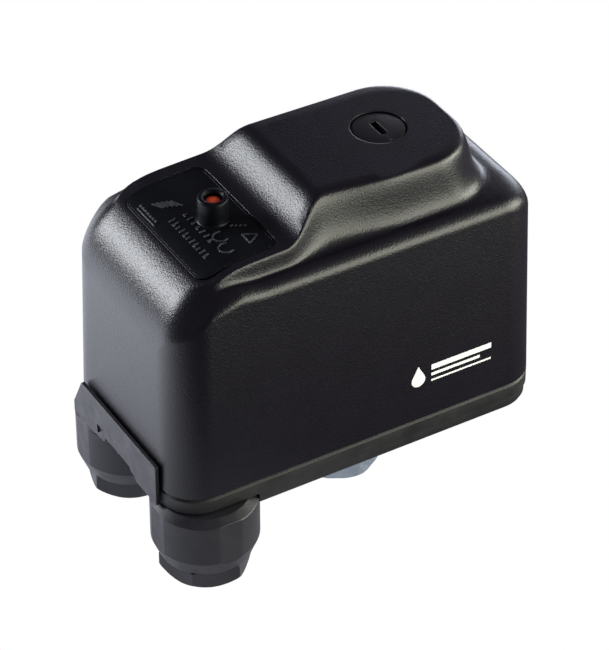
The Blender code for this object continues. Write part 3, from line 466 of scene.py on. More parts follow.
def cover_rings():
    """The cover's rings of points, from its rim up the wall, round the edge and up the rise."""
    rings = [case_ring(X0, X1, lambda x, face: HALF, CORNER, (CORNER, CORNER), lambda x, side: RIM)]
    for k in range(ROUND_RINGS + 1):
        x0, x1, half, left_r, right_r, heights = round_section(k / ROUND_RINGS)

        def edge_height(x, side, heights=heights):
            return ring_height(x, side, heights[0](x), heights[1], CORNER_BLEND)

        rings.append(case_ring(x0, x1, half, left_r, (right_r, right_r), edge_height))
    for k in range(1, RISE_RINGS + 1):
        t = k / RISE_RINGS
        u = handle_curve(t, FOOT, CREST)

        def rise_half(x, face, u=u):
            inner = DECK_HALF + (PLATEAU_HALF - DECK_HALF) * smooth((x - RAMP_X0) / (RAMP_X1 - RAMP_X0))
            if face < 0:
                inner += FRONT_BULGE * smooth((x - RAMP_X1) / BULGE_RUN)
            outer = half(x, face)
            return outer + (min(inner, outer - LEAST_RUN) - outer) * u

        def rise_height(x, side, t=t):
            feet = (heights[0](x), heights[1])
            front, right = (foot + (top_height(x) - foot) * smooth(t) for foot in feet)
            return ring_height(x, side, front, right, CORNER_BLEND * (1 - t))

        corners = [right_r + (corner - right_r) * u for corner in PLATEAU_CORNERS]
        rings.append(case_ring(x0 + GLAND_END_RISE * u, x1 + (PLATEAU_X1 - x1) * u, rise_half,
                               left_r - u, corners, rise_height))
    return rings


def cover_surface(name):
    """The cover's outside: rings up the walls and the rise, then rows of faces across the top."""
    bm = bmesh.new()
    rings = cover_rings()
    front_count = rings[0][1]
    loops = [[bm.verts.new(p) for p in ring] for ring, _ in rings]
    count = len(loops[0])
    for low, high in zip(loops, loops[1:]):
        for i in range(count):
            j = (i + 1) % count
            bm.faces.new((low[i], low[j], high[j], high[i]))
    top = loops[-1]
    back = front_count + END_SEGMENTS - 1
    columns = []
    for i in range(front_count):
        if i == 0:
            inner = list(reversed(top[back + front_count:]))
        elif i == front_count - 1:
            inner = top[front_count:back]
        else:
            a, b = top[i].co, top[back + front_count - 1 - i].co
            inner = [bm.verts.new(a.lerp(b, s / END_SEGMENTS)) for s in range(1, END_SEGMENTS)]
        columns.append([top[i], *inner, top[back + front_count - 1 - i]])
    for left, right in zip(columns, columns[1:]):
        for s in range(END_SEGMENTS):
            bm.faces.new((left[s], right[s], right[s + 1], left[s + 1]))
    bmesh.ops.recalc_face_normals(bm, faces=bm.faces)
    return made(name, bm)


def deck_slab(name, grow, low, high):
    """A slab that follows the low deck, from low to high above it, grown sideways by grow."""
    bm = bmesh.new()
    x0, x1 = PLATE_X - PLATE_LENGTH / 2 - grow, PLATE_X + PLATE_LENGTH / 2 + grow
    half, corner, rows, steps = PLATE_WIDTH / 2 + grow, PLATE_CORNER + grow, 16, 16
    bend = [corner * (1 - math.cos(math.pi * i / steps)) for i in range(steps // 2 + 1)]
    xs = [x0 + b for b in bend]
    xs += [x0 + corner + (x1 - x0 - 2 * corner) * i / steps for i in range(1, steps)]
    xs += [x1 - b for b in reversed(bend)]
    grids = []
    for offset in (low, high):
        grid = []
        for x in xs:
            off = max(x0 + corner - x, x - x1 + corner, 0.0)
            reach = half - corner + math.sqrt(max(corner ** 2 - off ** 2, 0.0))
            z = SPLIT_Z + gland_end_height(x) + offset
            grid.append([bm.verts.new((x, PLATE_Y + reach * (2 * r / rows - 1), z))
                         for r in range(rows + 1)])
        grids.append(grid)
    for grid in grids:
        for a, b in zip(grid, grid[1:]):
            for r in range(rows):
                bm.faces.new((a[r], b[r], b[r + 1], a[r + 1]))
    lower, upper = grids
    edge = [(i, 0) for i in range(len(xs))] + [(len(xs) - 1, r) for r in range(1, rows + 1)]
    edge += [(i, rows) for i in range(len(xs) - 2, -1, -1)] + [(0, r) for r in range(rows - 1, 0, -1)]
    for (i, r), (j, s) in zip(edge, edge[1:] + edge[:1]):
        bm.faces.new((lower[i][r], lower[j][s], upper[j][s], upper[i][r]))
    bmesh.ops.recalc_face_normals(bm, faces=bm.faces)
    return made(name, bm)


def make_cover():
    """The moulded shell, with the cap screw's boss and holes, and the recess that holds the plate."""
    cover = cover_surface("cover_shell")
    shell = cover.modifiers.new("wall", "SOLIDIFY")
    shell.thickness = WALL * MM
    shell.offset = -1
    shell.use_even_offset = True
    settle(cover)
    post = (POST_X, 0, 0)
    boolean(cover, "UNION", [rod("boss", BOSS_R, BOSS_LOW, BOSS_HIGH, post)])
    boolean(cover, "DIFFERENCE", [
        rod("screw_recess", CAP_R + CAP_GAP, CAP_Z - 0.3, OVER_TOP, post),
        rod("screw_hole", CAP_HOLE_R, UNDER_TOP, 95, post),
        deck_slab("plate_recess", PLATE_GAP, -1.0, 6.0),
        rod("button_hole", BUTTON_HOLE_R, UNDER_TOP, OVER_TOP, BUTTON, 32),
    ])
    dress(cover, CASE, "cover", ["cover"], angle=28)


make_cover()


# ---------------------------------------------------------------- plate, button and cap

def make_plate():
    """The plate, which follows the deck, with the collar that guards the button."""
    plate = deck_slab("plate_with_collar", 0.0, -PLATE_UNDERSIDE, -PLATE_SUNK)
    r, top, outer = COLLAR_R, COLLAR_TOP, COLLAR_R + COLLAR_FILLET
    fillet = arc(outer, COLLAR_FOOT + COLLAR_FILLET, COLLAR_FILLET, 190, 270, 4)
    collar = [(0, top), (r - 0.55, top), (r - 0.25, top - 0.08), (r - 0.06, top - 0.3), (r, top - 0.6),
              (r, 87.5), *fillet, (outer, 84.5), (0, 84.5)]
    boolean(plate, "UNION", [turned("collar", collar, BUTTON)])
    bore = [(0, OVER_TOP), (2.55, OVER_TOP), (2.55, top - 0.1), (2.2, top - 0.4), (2.2, 84.9), (0, 84.9)]
    stem_bore = rod("stem_bore", 1.5, UNDER_TOP, 90, BUTTON, 32)
    boolean(plate, "DIFFERENCE", [turned("collar_bore", bore, BUTTON), stem_bore])
    dress(plate, PLATE, "cover", ["rating_plate"], angle=40)


def make_button():
    """The red reset pin, with a low dome, sunk in its collar."""
    top = COLLAR_TOP - BUTTON_SUNK
    head = [(0, top + 0.05), (0.8, top + 0.02), (1.4, top - 0.06), (1.7, top - 0.2), (1.85, top - 0.45),
            (1.85, top - PIN_HEAD), (1.15, top - PIN_HEAD), (1.15, 60.3), (0.8, 59.4), (0, 59.4)]
    dress(turned("reset_pin", head, BUTTON, 48), RED, "reset_button", ["reset_button"])


def make_cap():
    """The cap screw: a flush slotted head over a hollow stem."""
    top, r = CAP_TOP, CAP_R
    post = (POST_X, 0, 0)
    profile = [(0, top), (r - 0.5, top), (r - 0.2, top - 0.08), (r - 0.03, top - 0.25), (r, top - 0.5),
               (r, CAP_Z), (4.5, CAP_Z), (4.5, 76.0), (2.85, 76.0), (2.85, 88.0), (0, 88.0)]
    cap = turned("cap_screw", profile, post, 96)
    slot = rounded_rectangle(-CAP_SLOT_WIDTH / 2, CAP_SLOT_WIDTH / 2, CAP_SLOT_LENGTH / 2, 0.2, 3)
    boolean(cap, "DIFFERENCE", [
        prism("slot", slot, top - CAP_SLOT_DEPTH, top + 1, post),
        box("rim_notch", (-0.45, -r - 1, top - 0.5), (0.45, -r + 0.75, top + 1), post),
    ])
    dress(cap, CAP, "cover_screw", ["cover_screw"])


make_plate()
make_button()
make_cap()


# ---------------------------------------------------------------- raised and printed marks

MARK_RISE, BORDER_RISE, MARK_ROOT = 0.22, 0.05, 0.25  # above the plate's top, and below it
BORDER_INSET = 0.55


def deck_mark(name, outline, rise):
    """A raised mark on the plate, from an outline of (x, y) points about the plate's middle."""
    places = [(PLATE_X + x, PLATE_Y + y) for x, y in outline]
    return lofted(name, [[(x, y, SPLIT_Z + gland_end_height(x) - PLATE_SUNK + offset) for x, y in places]
                         for offset in (-MARK_ROOT, rise)])


def bar(x, y, length, width, turn):
    """Corners of a bar that starts at (x, y) and runs for length at this turn, in degrees."""
    a = math.radians(turn)
    dx, dy = math.cos(a), math.sin(a)
    nx, ny = -dy * width / 2, dx * width / 2
    return [(x + nx, y + ny), (x - nx, y - ny), (x - nx + dx * length, y - ny + dy * length),
            (x + nx + dx * length, y + ny + dy * length)]


def ring_bars(x, y, radius, width, start, end, count):
    """Short bars that together make an arc, each a little longer than its share."""
    turns = [start + (end - start) * i / count for i in range(count)]
    length = 1.08 * radius * math.radians((end - start) / count)
    starts = arc(x, y, radius, start, end, count)
    return [bar(bar_x, bar_y, length, width, a + 90) for (bar_x, bar_y), a in zip(starts, turns)]


def edge_bars(corners, width, longest=math.inf):
    """Bars along a closed outline. A long side is split into bars of about this length."""
    bars = []
    for (ax, ay), (bx, by) in zip(corners, corners[1:] + corners[:1]):
        length, turn = math.hypot(bx - ax, by - ay), math.degrees(math.atan2(by - ay, bx - ax))
        pieces = max(1, int(length / longest))
        for k in range(pieces):
            t = k / pieces
            bars.append(bar(ax + (bx - ax) * t, ay + (by - ay) * t, length / pieces, width, turn))
    return bars


def join_all(name, objects, look):
    """Joins marks into one piece that rides on the cover."""
    first = objects[0]
    with bpy.context.temp_override(active_object=first, object=first, selected_objects=objects,
                                   selected_editable_objects=objects):
        bpy.ops.object.join()
    first.name = name
    dress(first, look, "cover")


def make_plate_marks():
    """Plain bars, rings and a triangle: a stand-in for the plate's raised lettering."""
    outlines = []
    for i in range(5):  # a slanted block of ribs at the back of the plate
        outlines.append(bar(-6.2 + 0.95 * i, 11.6 - 0.5 * i, 3.4, 0.42, -64))
    for i in range(7):  # a row of dashes over a long line
        outlines.append(bar(-8.2, 12.6 - 1.15 * i, 0.85, 0.45, 90))
    outlines.append(bar(-9.1, 13.2, 8.2, 0.26, -90))
    # two rows of ticks, some with a short cross stroke
    for row, (x, start, count, pitch) in enumerate(((-2.6, 3.2, 7, 1.9), (-6.1, 3.4, 11, 1.55))):
        for i in range(count):
            long = 1.5 if (i + row) % 3 else 1.05
            outlines.append(bar(x, start - pitch * i, long, 0.42, 0))
            if (i * 2 + row) % 3 == 0:
                outlines.append(bar(x + 0.2, start - 0.75 - pitch * i, 0.75, 0.38, 90))
    for x, y in ((0.6, -8.3), (-0.4, -12.6)):  # two open rings
        outlines += ring_bars(x, y, 1.75, 0.36, 60, 300, 12)
    outlines += edge_bars([(5.0, -10.2), (5.0, -14.0), (8.0, -12.1)], 0.34)  # a triangle's outline
    for i in range(4):  # a short slanted row of dashes
        outlines.append(bar(4.2 + 0.9 * i, -6.2 - 0.55 * i, 0.85, 0.36, 20))
    # The marks take the light grey look, which is a painted glint.
    join_all("plate_marks", [deck_mark(f"mark_{i}", o, MARK_RISE) for i, o in enumerate(outlines)], MARK)
    x1, half = PLATE_LENGTH / 2 - BORDER_INSET, PLATE_WIDTH / 2 - BORDER_INSET
    border = edge_bars(rounded_rectangle(-x1, x1, half, 2.5, 8), 0.16, 1.5)
    join_all("plate_border", [deck_mark(f"edge_{i}", o, BORDER_RISE) for i, o in enumerate(border)], PLATE)


def front_y(z):
    """Where the drafted front wall's outside is at this height."""
    return -(HALF - DRAFT * (z - SPLIT_Z))


def wall_mark(name, outline):
    """A thin printed mark on the front wall, from (x, z) points. Its back is sunk in the wall."""
    return lofted(name, [[(x, front_y(z) + offset, z) for x, z in outline] for offset in (0.12, -0.05)])


def make_wall_mark():
    """A generic water-drop and bars, printed white low on the front."""
    x, z = CASE_X + 14.6, SPLIT_Z + 12.4
    marks = [wall_mark("drop", [(x, z + 3.4), *arc(x, z - 0.6, 1.9, 20, -200, 11)])]
    x += 3.6
    for row, (length, height, lower) in enumerate(((16.8, 1.5, 0), (13.6, 0.8, 2.4), (16.8, 0.5, 4.3))):
        z1 = z + 2.6 - lower
        corners = [(x, z1 - height), (x + length, z1 - height), (x + length, z1), (x, z1)]
        marks.append(wall_mark(f"line_{row}", corners))
    join_all("front_mark", marks, INK)


make_plate_marks()
make_wall_mark()


# ---------------------------------------------------------------- tray and bar

def screw_places():
    """Where the flange's four screws are."""
    reach = SCREW_CIRCLE_R * math.sqrt(0.5)
    return [(PORT_X + sx * reach, sy * reach, 0) for sx in (-1, 1) for sy in (-1, 1)]


def case_outline(inset):
    """The case's outline at the parting plane, drawn in by this much."""
    return rounded_rectangle(X0 + inset, X1 - inset, HALF - inset, CORNER - inset)


def skirt():
    """The lower band that runs round the tray, apart from its gland end."""
    x0, inset = GLAND_X + 6.0, 0.4
    corner_x, corner_y, radius = X1 - CORNER, HALF - CORNER, CORNER - inset
    outline = [(x0, HALF - inset), *reversed(arc(corner_x, corner_y, radius, 0, 90, 14)),
               *reversed(arc(corner_x, -corner_y, radius, 270, 360, 14)), (x0, inset - HALF)]
    loops = []
    for z, draw in ((BAND_Z + 0.6, 0.0), (TRAY_Z + 0.9, 0.0), (TRAY_Z, 0.55)):
        loops.append([(x - (draw if x > X1 - 1 else 0.0), y - math.copysign(draw, y), z)
                      for x, y in outline])
    return lofted("skirt", loops)


def make_tray():
    """The shallow tray under the cover, with its rounded rim, its holes and its lower band."""
    levels = [(SPLIT_Z - 0.15, 0.6), (SPLIT_Z - 0.35, 0.35), (SPLIT_Z - 0.7, 0.0), (BAND_Z + 0.35, 0.0),
              (BAND_Z + 0.1, 0.1), (BAND_Z, 0.3)]
    tray = lofted("tray_shell", [[(x, y, z) for x, y in case_outline(inset)] for z, inset in levels])
    boolean(tray, "UNION", [skirt()])
    boolean(tray, "DIFFERENCE", [prism("well", case_outline(TRAY_WALL), FLOOR_TOP, OVER_TRAY)])
    glands = [(GLAND_X, side * GLAND_Y, 0) for side in (-1, 1)]
    recess = rounded_rectangle(GLAND_X + 15.6, X1 - 3.2, HALF - 3.2, CORNER - 3.2)
    cutters = [rod("gland_space", GLAND_R + GLAND_GAP, UNDER_TRAY, BAND_Z, at) for at in glands]
    boolean(tray, "DIFFERENCE", [*cutters, prism("flange_recess", recess, TRAY_Z - 2, BAND_Z)])
    cutters = [rod("plunger_hole", PLUNGER_HOLE_R, UNDER_TRAY, OVER_TRAY, (PORT_X, 0, 0))]
    cutters += [rod("gland_hole", GLAND_HOLE_R, UNDER_TRAY, OVER_TRAY, at, 48) for at in glands]
    cutters += [box("tongue_slot", (X0 - 1, y - 3.3, 23.5), (X0 + 3, y + 3.3, 26.1)) for y in TONGUE_Y]
    cutters += [rod("screw_hole", SCREW_HOLE_R, UNDER_TRAY, OVER_TRAY, at, 24) for at in screw_places()]
    boolean(tray, "DIFFERENCE", cutters)
    dress(tray, TRAY, "base", ["base_tray"])


def make_bar():
    """The upright bar at the gland end: a sloping nose at the back, and a stepped lower edge."""
    half, z0, z1 = BAR_HALF, BAR_Z0, BAR_Z1
    nose, drop = half + 4.4, 8.3
    outline = [(-half, z1), (half, z1), (nose, z1 - drop), (nose, z0 - 0.2), (half, z0), (12.0, z0),
               (12.0, z0 + 0.3), (7.2, z0 + 0.8), (6.8, z0 + 2.3), (0.9, z0 + 2.5), (0.6, z0 + 1.9),
               (0.2, z0 + 2.5), (-5.4, z0 + 2.2), (-5.9, z0 + 1.3), (-7.6, z0 + 1.2), (-8.4, z0),
               (-half, z0)]
    bar_piece = cross_prism("gland_bar", outline, BAR_X, BAR_X + BAR_THICKNESS)
    notch = cross_prism("bar_notch", [(10.9, 26.6), (10.7, 24.0), (7.7, 26.7)], BAR_X - 1, BAR_X + 0.6)
    boolean(bar_piece, "DIFFERENCE", [notch])
    tongues = [box("tongue", (BAR_X + 0.5, y - 3.0, 23.8), (X0 + 2.6, y + 3.0, 25.8)) for y in TONGUE_Y]
    boolean(bar_piece, "UNION", tongues)
    dress(bar_piece, GLAND, "base", ["gland_retainer"])


make_tray()
make_bar()


# ---------------------------------------------------------------- glands

def make_gland(side, name):
    """A gland's body with its neck, thread and four flats, and its cap nut, seal and slip ring."""
    at = (GLAND_X, side * GLAND_Y, 0)
    r, flat, far = GLAND_R, GLAND_FLAT, GLAND_R + 3
    neck = [(4.8, 25.7), (5.5, 25.7), (5.65, 25.6), (6.2, 25.2), (6.2, 24.8), (5.65, 24.7), (5.65, 22.5)]
    barrel = [(r - 2.2, 22.5), (r - 0.15, 21.2), (r, 21.0), (r, 10.2), (11.3, 6.0), (8.2, 6.0)]
    thread = [(8.2, 5.3), (7.9, 5.0), (8.2, 4.7), (8.2, 4.0), (7.9, 3.7), (8.2, 3.4), (8.2, 1.7)]
    bore = [(6.9, 1.7), (6.9, 9.5), (4.8, 11.0)]
    body = turned(f"gland_{name}", [*neck, *barrel, *thread, *bore], at, 120)
    flats = []
    for dx, dy in ((1, 0), (-1, 0), (0, 1), (0, -1)):
        low = (flat if dx > 0 else -far, flat if dy > 0 else -far, 5)
        high = (-flat if dx < 0 else far, -flat if dy < 0 else far, 24)
        flats.append(box("flat", low, high, at))
    boolean(body, "DIFFERENCE", flats)
    dress(body, GLAND, "base", [f"gland_body_{name}"], angle=12)
    nut = prism(f"gland_cap_nut_{name}", hexagon(NUT_FLATS, 45 * side + 30), 0, 5.7, at)
    keep = [(0, 6), (10.9, 6), (11.5, 5.4), (11.5, 2.3), (11.1, 1.7), (9.3, 0), (0, 0)]
    boolean(nut, "INTERSECT", [turned("nut_chamfer", keep, at, 96)])
    bore = [(0, 7), (8.55, 7), (8.55, 1.5), (5.5, 1.5), (5.2, 1.2), (5.2, -1), (0, -1)]
    boolean(nut, "DIFFERENCE", [turned("nut_bore", bore, at, 64)])
    dress(nut, GLAND, f"gland_nut_{name}", [f"gland_nut_{name}"], angle=20)
    seal = [(4.6, 8.8), (6.6, 8.8), (6.6, 3.0), (4.6, 3.0)]
    dress(turned(f"seal_{name}", seal, at, 48), RUBBER, "base", [f"gland_seal_{name}"])
    slip = [(4.9, 2.7), (6.6, 2.7), (6.6, 2.0), (4.9, 2.0)]
    dress(turned(f"slip_ring_{name}", slip, at, 48), IVORY, f"gland_ring_{name}", [f"gland_ring_{name}"])


make_gland(-1, "front")
make_gland(1, "rear")


# ---------------------------------------------------------------- port, screws and springs

def slotted(name, node, at, head, shank, down=True):
    """A cheese-head screw with a domed slotted head, in place of the CAD's plain one. Its head is a
    radius and two heights, and its shank is a radius and the height of its tip."""
    head_r, z0, z1 = head
    shank_r, tip = shank
    if down:
        profile = [(0, z1), (head_r - 0.5, z1 - 0.05), (head_r - 0.15, z1 - 0.2), (head_r, z1 - 0.5),
                   (head_r, z0), (shank_r, z0), (shank_r, tip + 0.4), (shank_r - 0.4, tip), (0, tip)]
        slot_low, slot_high = z1 - 0.9, z1 + 1
    else:
        profile = [(0, tip), (shank_r, tip), (shank_r, z1), (head_r, z1), (head_r, z0 + 0.5),
                   (head_r - 0.15, z0 + 0.2), (head_r - 0.5, z0 + 0.05), (0, z0)]
        slot_low, slot_high = z0 - 1, z0 + 0.9
    screw = turned(name, profile, at, 40)
    slot = box("slot", (-head_r - 1, -0.4, slot_low), (head_r + 1, 0.4, slot_high), at)
    boolean(screw, "DIFFERENCE", [slot])
    dress(screw, STEEL, "base", [node])


def make_port():
    """The hexagonal port with its thread rings, and the flange plate that holds it."""
    at = (PORT_X, 0, 0)
    port = prism("port_fitting", hexagon(PORT_FLATS, 30), 0, 17.2, at)
    keep = [(0, 17.3), (10.4, 17.3), (11.4, 16.3), (11.4, 1.1), (10.9, 0.5), (10.2, 0), (0, 0)]
    boolean(port, "INTERSECT", [turned("port_chamfer", keep, at, 96)])
    boolean(port, "UNION", [rod("neck", 4.9, 16.5, 19.8, at)])
    r = PORT_BORE_R
    thread = [(0, 12.5), (5.3, 12.5)]
    for i in range(THREAD_RINGS):
        z = THREAD_TOP - THREAD_PITCH * i
        thread += [(r, z), (r - THREAD_DEPTH, z - THREAD_FLANK)]
    thread += [(r, 0.6), (r + 0.5, 0.0), (r + 0.5, -1), (0, -1)]
    boolean(port, "DIFFERENCE", [turned("thread", thread, at, 64)])
    boolean(port, "DIFFERENCE", [rod("way", 1.8, 10, 25, at, 24)])
    dress(port, ZINC, "base", ["pressure_port"])
    r = FLANGE_R
    profile = [(5.3, 19.6), (15.0, 19.6), (15.8, 20.8), (r, 20.8), (r, 18.0), (r - 0.15, 17.65),
               (r - 0.5, 17.5), (8.0, 17.5), (5.3, 17.5)]
    flange = turned("flange_plate", profile, at, 96)
    holes = [rod("hole", SCREW_HOLE_R, 10, 30, place, 24) for place in screw_places()]
    boolean(flange, "DIFFERENCE", holes)
    dress(flange, ZINC, "base", ["port_flange"])
    for i, place in enumerate(screw_places(), 1):
        slotted(f"flange_bolt_{i}", f"flange_screw_{i}", place, (3.3, 14.8, 17.2), (1.8, 28.0), down=False)


def coil(name, at, radius, wire, z0, z1, turns, first=0.0, last=1.0):
    """A compression spring of wire of this radius, with a closed turn at each end, as a mesh, or the
    share of it from first to last."""
    per_turn, around = 36, 12
    count = turns * per_turn
    closed_pitch = 2.2 * wire
    free = z1 - z0 - 2 * wire - 2 * closed_pitch
    bm = bmesh.new()
    rings = []
    for i in range(round(first * count), round(last * count) + 1):
        turn = i / per_turn
        closed = min(turn, 1.0) + max(turn - (turns - 1), 0.0)
        z = z0 + wire + closed * closed_pitch + free * min(max(turn - 1, 0.0), turns - 2) / (turns - 2)
        a = 2 * math.pi * turn
        centre = Vector((radius * math.cos(a), radius * math.sin(a), z))
        out = Vector((math.cos(a), math.sin(a), 0))
        rings.append([bm.verts.new(centre + wire * (out * math.cos(b) + Vector((0, 0, math.sin(b)))))
                      for b in (2 * math.pi * k / around for k in range(around))])
    for low, high in zip(rings, rings[1:]):
        for k in range(around):
            bm.faces.new((low[k], high[k], high[(k + 1) % around], low[(k + 1) % around]))
    bm.faces.new(rings[0])
    bm.faces.new(rings[-1])
    bmesh.ops.recalc_face_normals(bm, faces=bm.faces)
    return made(name, bm, at)


def range_spring(name, x, radius, wire, top, travel):
    """A spring between the lever and its nut's plate, made as a lower and an upper half that both ride on
    the base."""
    reach = LEVER_PIVOT_X - x + radius + wire
    rise = reach * math.sin(math.radians(LEVER_TILT_DEG))
    halves = (("lower", 0.0, 0.5, "main_lever_tilt", rise),
              ("upper", 0.5, 1.0, f"{name}_spring_travel", travel))
    for part, first, last, joint, loss in halves:
        half = coil(f"{name}_coil_{part}", (x, 0, 0), radius, wire, LEVER_TOP, top, 6, first, last)
        dress(half, WIRE, "base", [f"{name}_spring"])
        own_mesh(half)


def make_springs():
    """The two range springs, the rocker's spring and the button's."""
    range_spring("main", POST_X, 7.0, 1.1, 66.0, 2.0)
    range_spring("diff", DIFF_X, 3.8, 0.55, 60.0, 1.4)
    x, foot = ROCKER_SPRING_X, ROCKER_SPRING_FOOT
    rocker = coil("rocker_coil", (x, 0, 0), 1.45, 0.25, foot, 42.1, 4)
    dress(rocker, WIRE, "base", ["rocker_spring"])
    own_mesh(rocker)
    foot, top = BUTTON_SPRING_FOOT, COLLAR_TOP - BUTTON_SUNK - 2.2
    press = coil("button_coil", BUTTON, 1.8, 0.15, foot, top, 3)
    dress(press, WIRE, "cover", ["reset_button_spring"])
    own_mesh(press)


def make_inner_screws():
    """The screws of the contact block, the terminals and the earth plate."""
    rows = (("block", CASE_X - 24.0, (-14.4, 14.4), (2.4, 36.3, 38.1), (1.5, 25.0)),
            ("terminal", CASE_X - 33.0, (-9.6, -3.2, 3.2, 9.6), (2.55, 37.4, 39.4), (1.6, 31.0)),
            ("earth", CASE_X - 42.0, (-4.6, 4.6), (2.7, 28.0, 30.0), (1.5, 24.9)))
    for kind, x, ys, head, shank in rows:
        for i, y in enumerate(ys, 1):
            slotted(f"{kind}_bolt_{i}", f"{kind}_screw_{i}", (x, y, 0), head, shank)


make_port()
make_springs()
make_inner_screws()


# ---------------------------------------------------------------- CAD nodes that stay

LOOK_OF = {
    "chassis": STEEL, "main_lever": STEEL, "lever_pin": STEEL, "lever_pin_clip": STEEL, "main_stud": STEEL,
    "diff_stud": STEEL, "main_spring_plate": STEEL, "diff_spring_plate": STEEL, "main_spring_nut": BRASS,
    "diff_spring_nut": BRASS, "contact_block": IVORY, "contact_rocker": ROCKER_RED, "reset_lever": IVORY,
    "rocker_pin": STEEL, "reset_lever_pin": STEEL, "reset_button_clip": STEEL, "earth_plate": BRASS,
    "diaphragm": RUBBER, "plunger": IVORY, "cover_screw_ring": RUBBER, "contact_bridge_1": BRASS,
    "contact_bridge_2": BRASS, "fixed_contact_1": BRASS, "fixed_contact_2": BRASS, "fixed_contact_3": BRASS,
    "fixed_contact_4": BRASS,
}
for node, look in LOOK_OF.items():
    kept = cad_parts[node].data
    kept.materials.clear()
    kept.materials.append(look.material)


# ---------------------------------------------------------------- floor, light and camera

FLOOR_SIZE_M, FLOOR_DROP_M = 6.0, 0.0002
FLOOR_PAINTED_LIGHT_AT_M, FLOOR_PAINTED_LIGHT_REACH_M = (-0.25, 0.20, 0.0), 0.36  # its painted pool of light, at the back left
FLOOR_PAINTED_SHADOW, FLOOR_PAINTED_LIGHT_COLOUR = (0.022, 0.020, 0.030, 1), (0.88, 0.91, 1.0, 1)
WHITE = (1, 1, 1, 1)
LIGHT_AIM_M = (0, 0, 0.06)


def camera_sees(tree, seen, other):
    """A shader that is the first one to the camera and the other one to everything else."""
    path = tree.nodes.new("ShaderNodeLightPath")
    mix = tree.nodes.new("ShaderNodeMixShader")
    tree.links.new(path.outputs["Is Camera Ray"], mix.inputs["Fac"])
    tree.links.new(other, mix.inputs[1])
    tree.links.new(seen, mix.inputs[2])
    return mix.outputs["Shader"]


def make_floor():
    """A plain white floor to the camera. To the part it glows with a painted pool of light at the back left
    and painted shadow in front.
    """
    bm = bmesh.new()
    bmesh.ops.create_grid(bm, x_segments=1, y_segments=1, size=FLOOR_SIZE_M / 2)
    mesh = bpy.data.meshes.new("floor")
    bm.to_mesh(mesh)
    bm.free()
    floor = bpy.data.objects.new("floor", mesh)
    floor.location.z = -FLOOR_DROP_M
    bpy.context.scene.collection.objects.link(floor)
    look = bpy.data.materials.new("floor_white_painted_light")
    look.use_nodes = True
    tree = look.node_tree
    shader = tree.nodes["Principled BSDF"]
    shader.inputs["Roughness"].default_value = 0.9
    coords = tree.nodes.new("ShaderNodeTexCoord")
    place = tree.nodes.new("ShaderNodeMapping")
    place.vector_type = "TEXTURE"
    place.inputs["Location"].default_value = FLOOR_PAINTED_LIGHT_AT_M
    place.inputs["Scale"].default_value = (FLOOR_PAINTED_LIGHT_REACH_M, FLOOR_PAINTED_LIGHT_REACH_M, FLOOR_PAINTED_LIGHT_REACH_M)
    tree.links.new(coords.outputs["Object"], place.inputs["Vector"])
    fade = tree.nodes.new("ShaderNodeTexGradient")
    fade.gradient_type = "SPHERICAL"
    tree.links.new(place.outputs["Vector"], fade.inputs["Vector"])
    # Painted light and shadow: colour and glow fade from a painted pool of light at the back left to
    # painted shadow in front, though the floor is no lamp.
    tone = tree.nodes.new("ShaderNodeValToRGB")
    tone.color_ramp.elements[0].color = FLOOR_PAINTED_SHADOW
    tone.color_ramp.elements[1].position = 0.55
    tone.color_ramp.elements[1].color = FLOOR_PAINTED_LIGHT_COLOUR
    tree.links.new(fade.outputs["Fac"], tone.inputs["Fac"])
    tree.links.new(tone.outputs["Color"], shader.inputs["Base Color"])
    tree.links.new(tone.outputs["Color"], shader.inputs["Emission Color"])
    shader.inputs["Emission Strength"].default_value = 1.4
    glow = tree.nodes.new("ShaderNodeEmission")
    glow.inputs["Color"].default_value = WHITE
    glow.inputs["Strength"].default_value = 1.0
    mixed = camera_sees(tree, glow.outputs["Emission"], shader.outputs["BSDF"])
    tree.links.new(mixed, tree.nodes["Material Output"].inputs["Surface"])
    mesh.materials.append(look)


def area_light(name, toward, distance, size, power, colour):
    """A soft box that lies this way and this far from the middle of the part, in metres and watts."""
    light = bpy.data.lights.new(name, "AREA")
    light.shape = "RECTANGLE"
    light.size, light.size_y = size
    light.energy = power
    light.color = colour
    obj = bpy.data.objects.new(name, light)
    aim = Vector(LIGHT_AIM_M)
    obj.location = aim + Vector(toward).normalized() * distance
    obj.rotation_euler = (aim - obj.location).to_track_quat("-Z", "Y").to_euler()
    obj.visible_camera = False
    bpy.context.scene.collection.objects.link(obj)


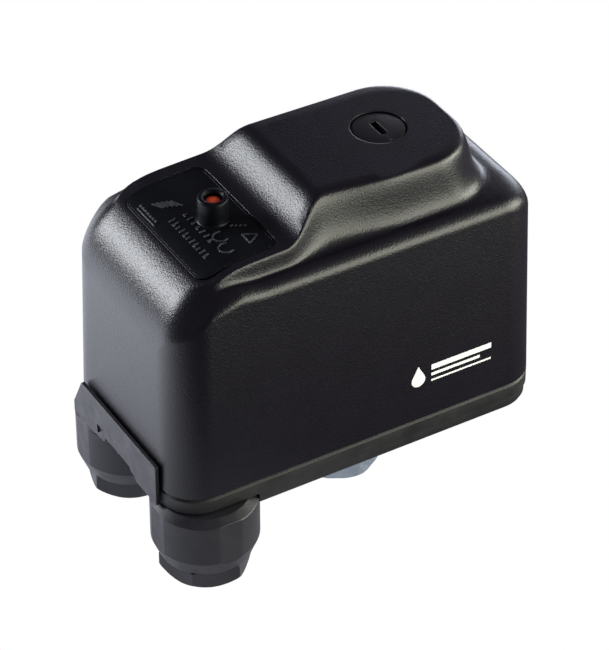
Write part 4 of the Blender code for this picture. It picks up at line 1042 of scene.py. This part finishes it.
def make_world():
    """A white backdrop to the camera, and a dim violet fill to the part."""
    world = bpy.data.worlds.new("studio")
    bpy.context.scene.world = world
    world.use_nodes = True
    tree = world.node_tree
    dim = tree.nodes["Background"]
    dim.inputs["Color"].default_value = (0.84, 0.78, 1.0, 1)
    dim.inputs["Strength"].default_value = 0.12
    white = tree.nodes.new("ShaderNodeBackground")
    white.inputs["Color"].default_value = WHITE
    mixed = camera_sees(tree, white.outputs["Background"], dim.outputs["Background"])
    tree.links.new(mixed, tree.nodes["World Output"].inputs["Surface"])


CAMERA_AZIMUTH_DEG, CAMERA_ELEVATION_DEG, CAMERA_DISTANCE_M = 30.75, 37.68, 0.7489
CAMERA_AIM_M, LENS_MM, SENSOR_MM = (0.0002, 0, 0.04331), 174.2, 36.0


def make_camera():
    """A long lens on the gland end's front corner, from above."""
    azimuth, elevation = math.radians(CAMERA_AZIMUTH_DEG), math.radians(CAMERA_ELEVATION_DEG)
    back = Vector((-math.sin(azimuth) * math.cos(elevation), -math.cos(azimuth) * math.cos(elevation),
                   math.sin(elevation)))
    camera = bpy.data.cameras.new("camera")
    camera.sensor_width = SENSOR_MM
    camera.lens = LENS_MM
    camera.clip_start = 0.01
    obj = bpy.data.objects.new("camera", camera)
    obj.location = Vector(CAMERA_AIM_M) + back * CAMERA_DISTANCE_M
    obj.rotation_euler = (-back).to_track_quat("-Z", "Y").to_euler()
    bpy.context.scene.collection.objects.link(obj)
    bpy.context.scene.camera = obj


make_floor()
make_world()
BLUISH, YELLOWISH = (0.93, 0.96, 1.0), (0.94, 0.95, 0.80)
area_light("left_box", (-0.67, 0.66, 0.33), 0.60, (0.24, 0.23), 3.0, BLUISH)
area_light("front_box", (0.52, -0.80, 0.25), 0.70, (0.56, 0.24), 2.9, YELLOWISH)
area_light("front_right_box", (0.88, -0.34, 0.32), 0.70, (0.46, 0.30), 4.6, (0.94, 0.95, 0.82))
area_light("low_box", (0.50, -0.84, -0.03), 0.42, (0.42, 0.09), 0.8, YELLOWISH)
area_light("right_box", (0.75, 0.66, 0.02), 0.60, (0.35, 0.25), 1.4, (0.84, 0.89, 1.0))
make_camera()
bpy.context.scene.view_settings.view_transform = "Standard"
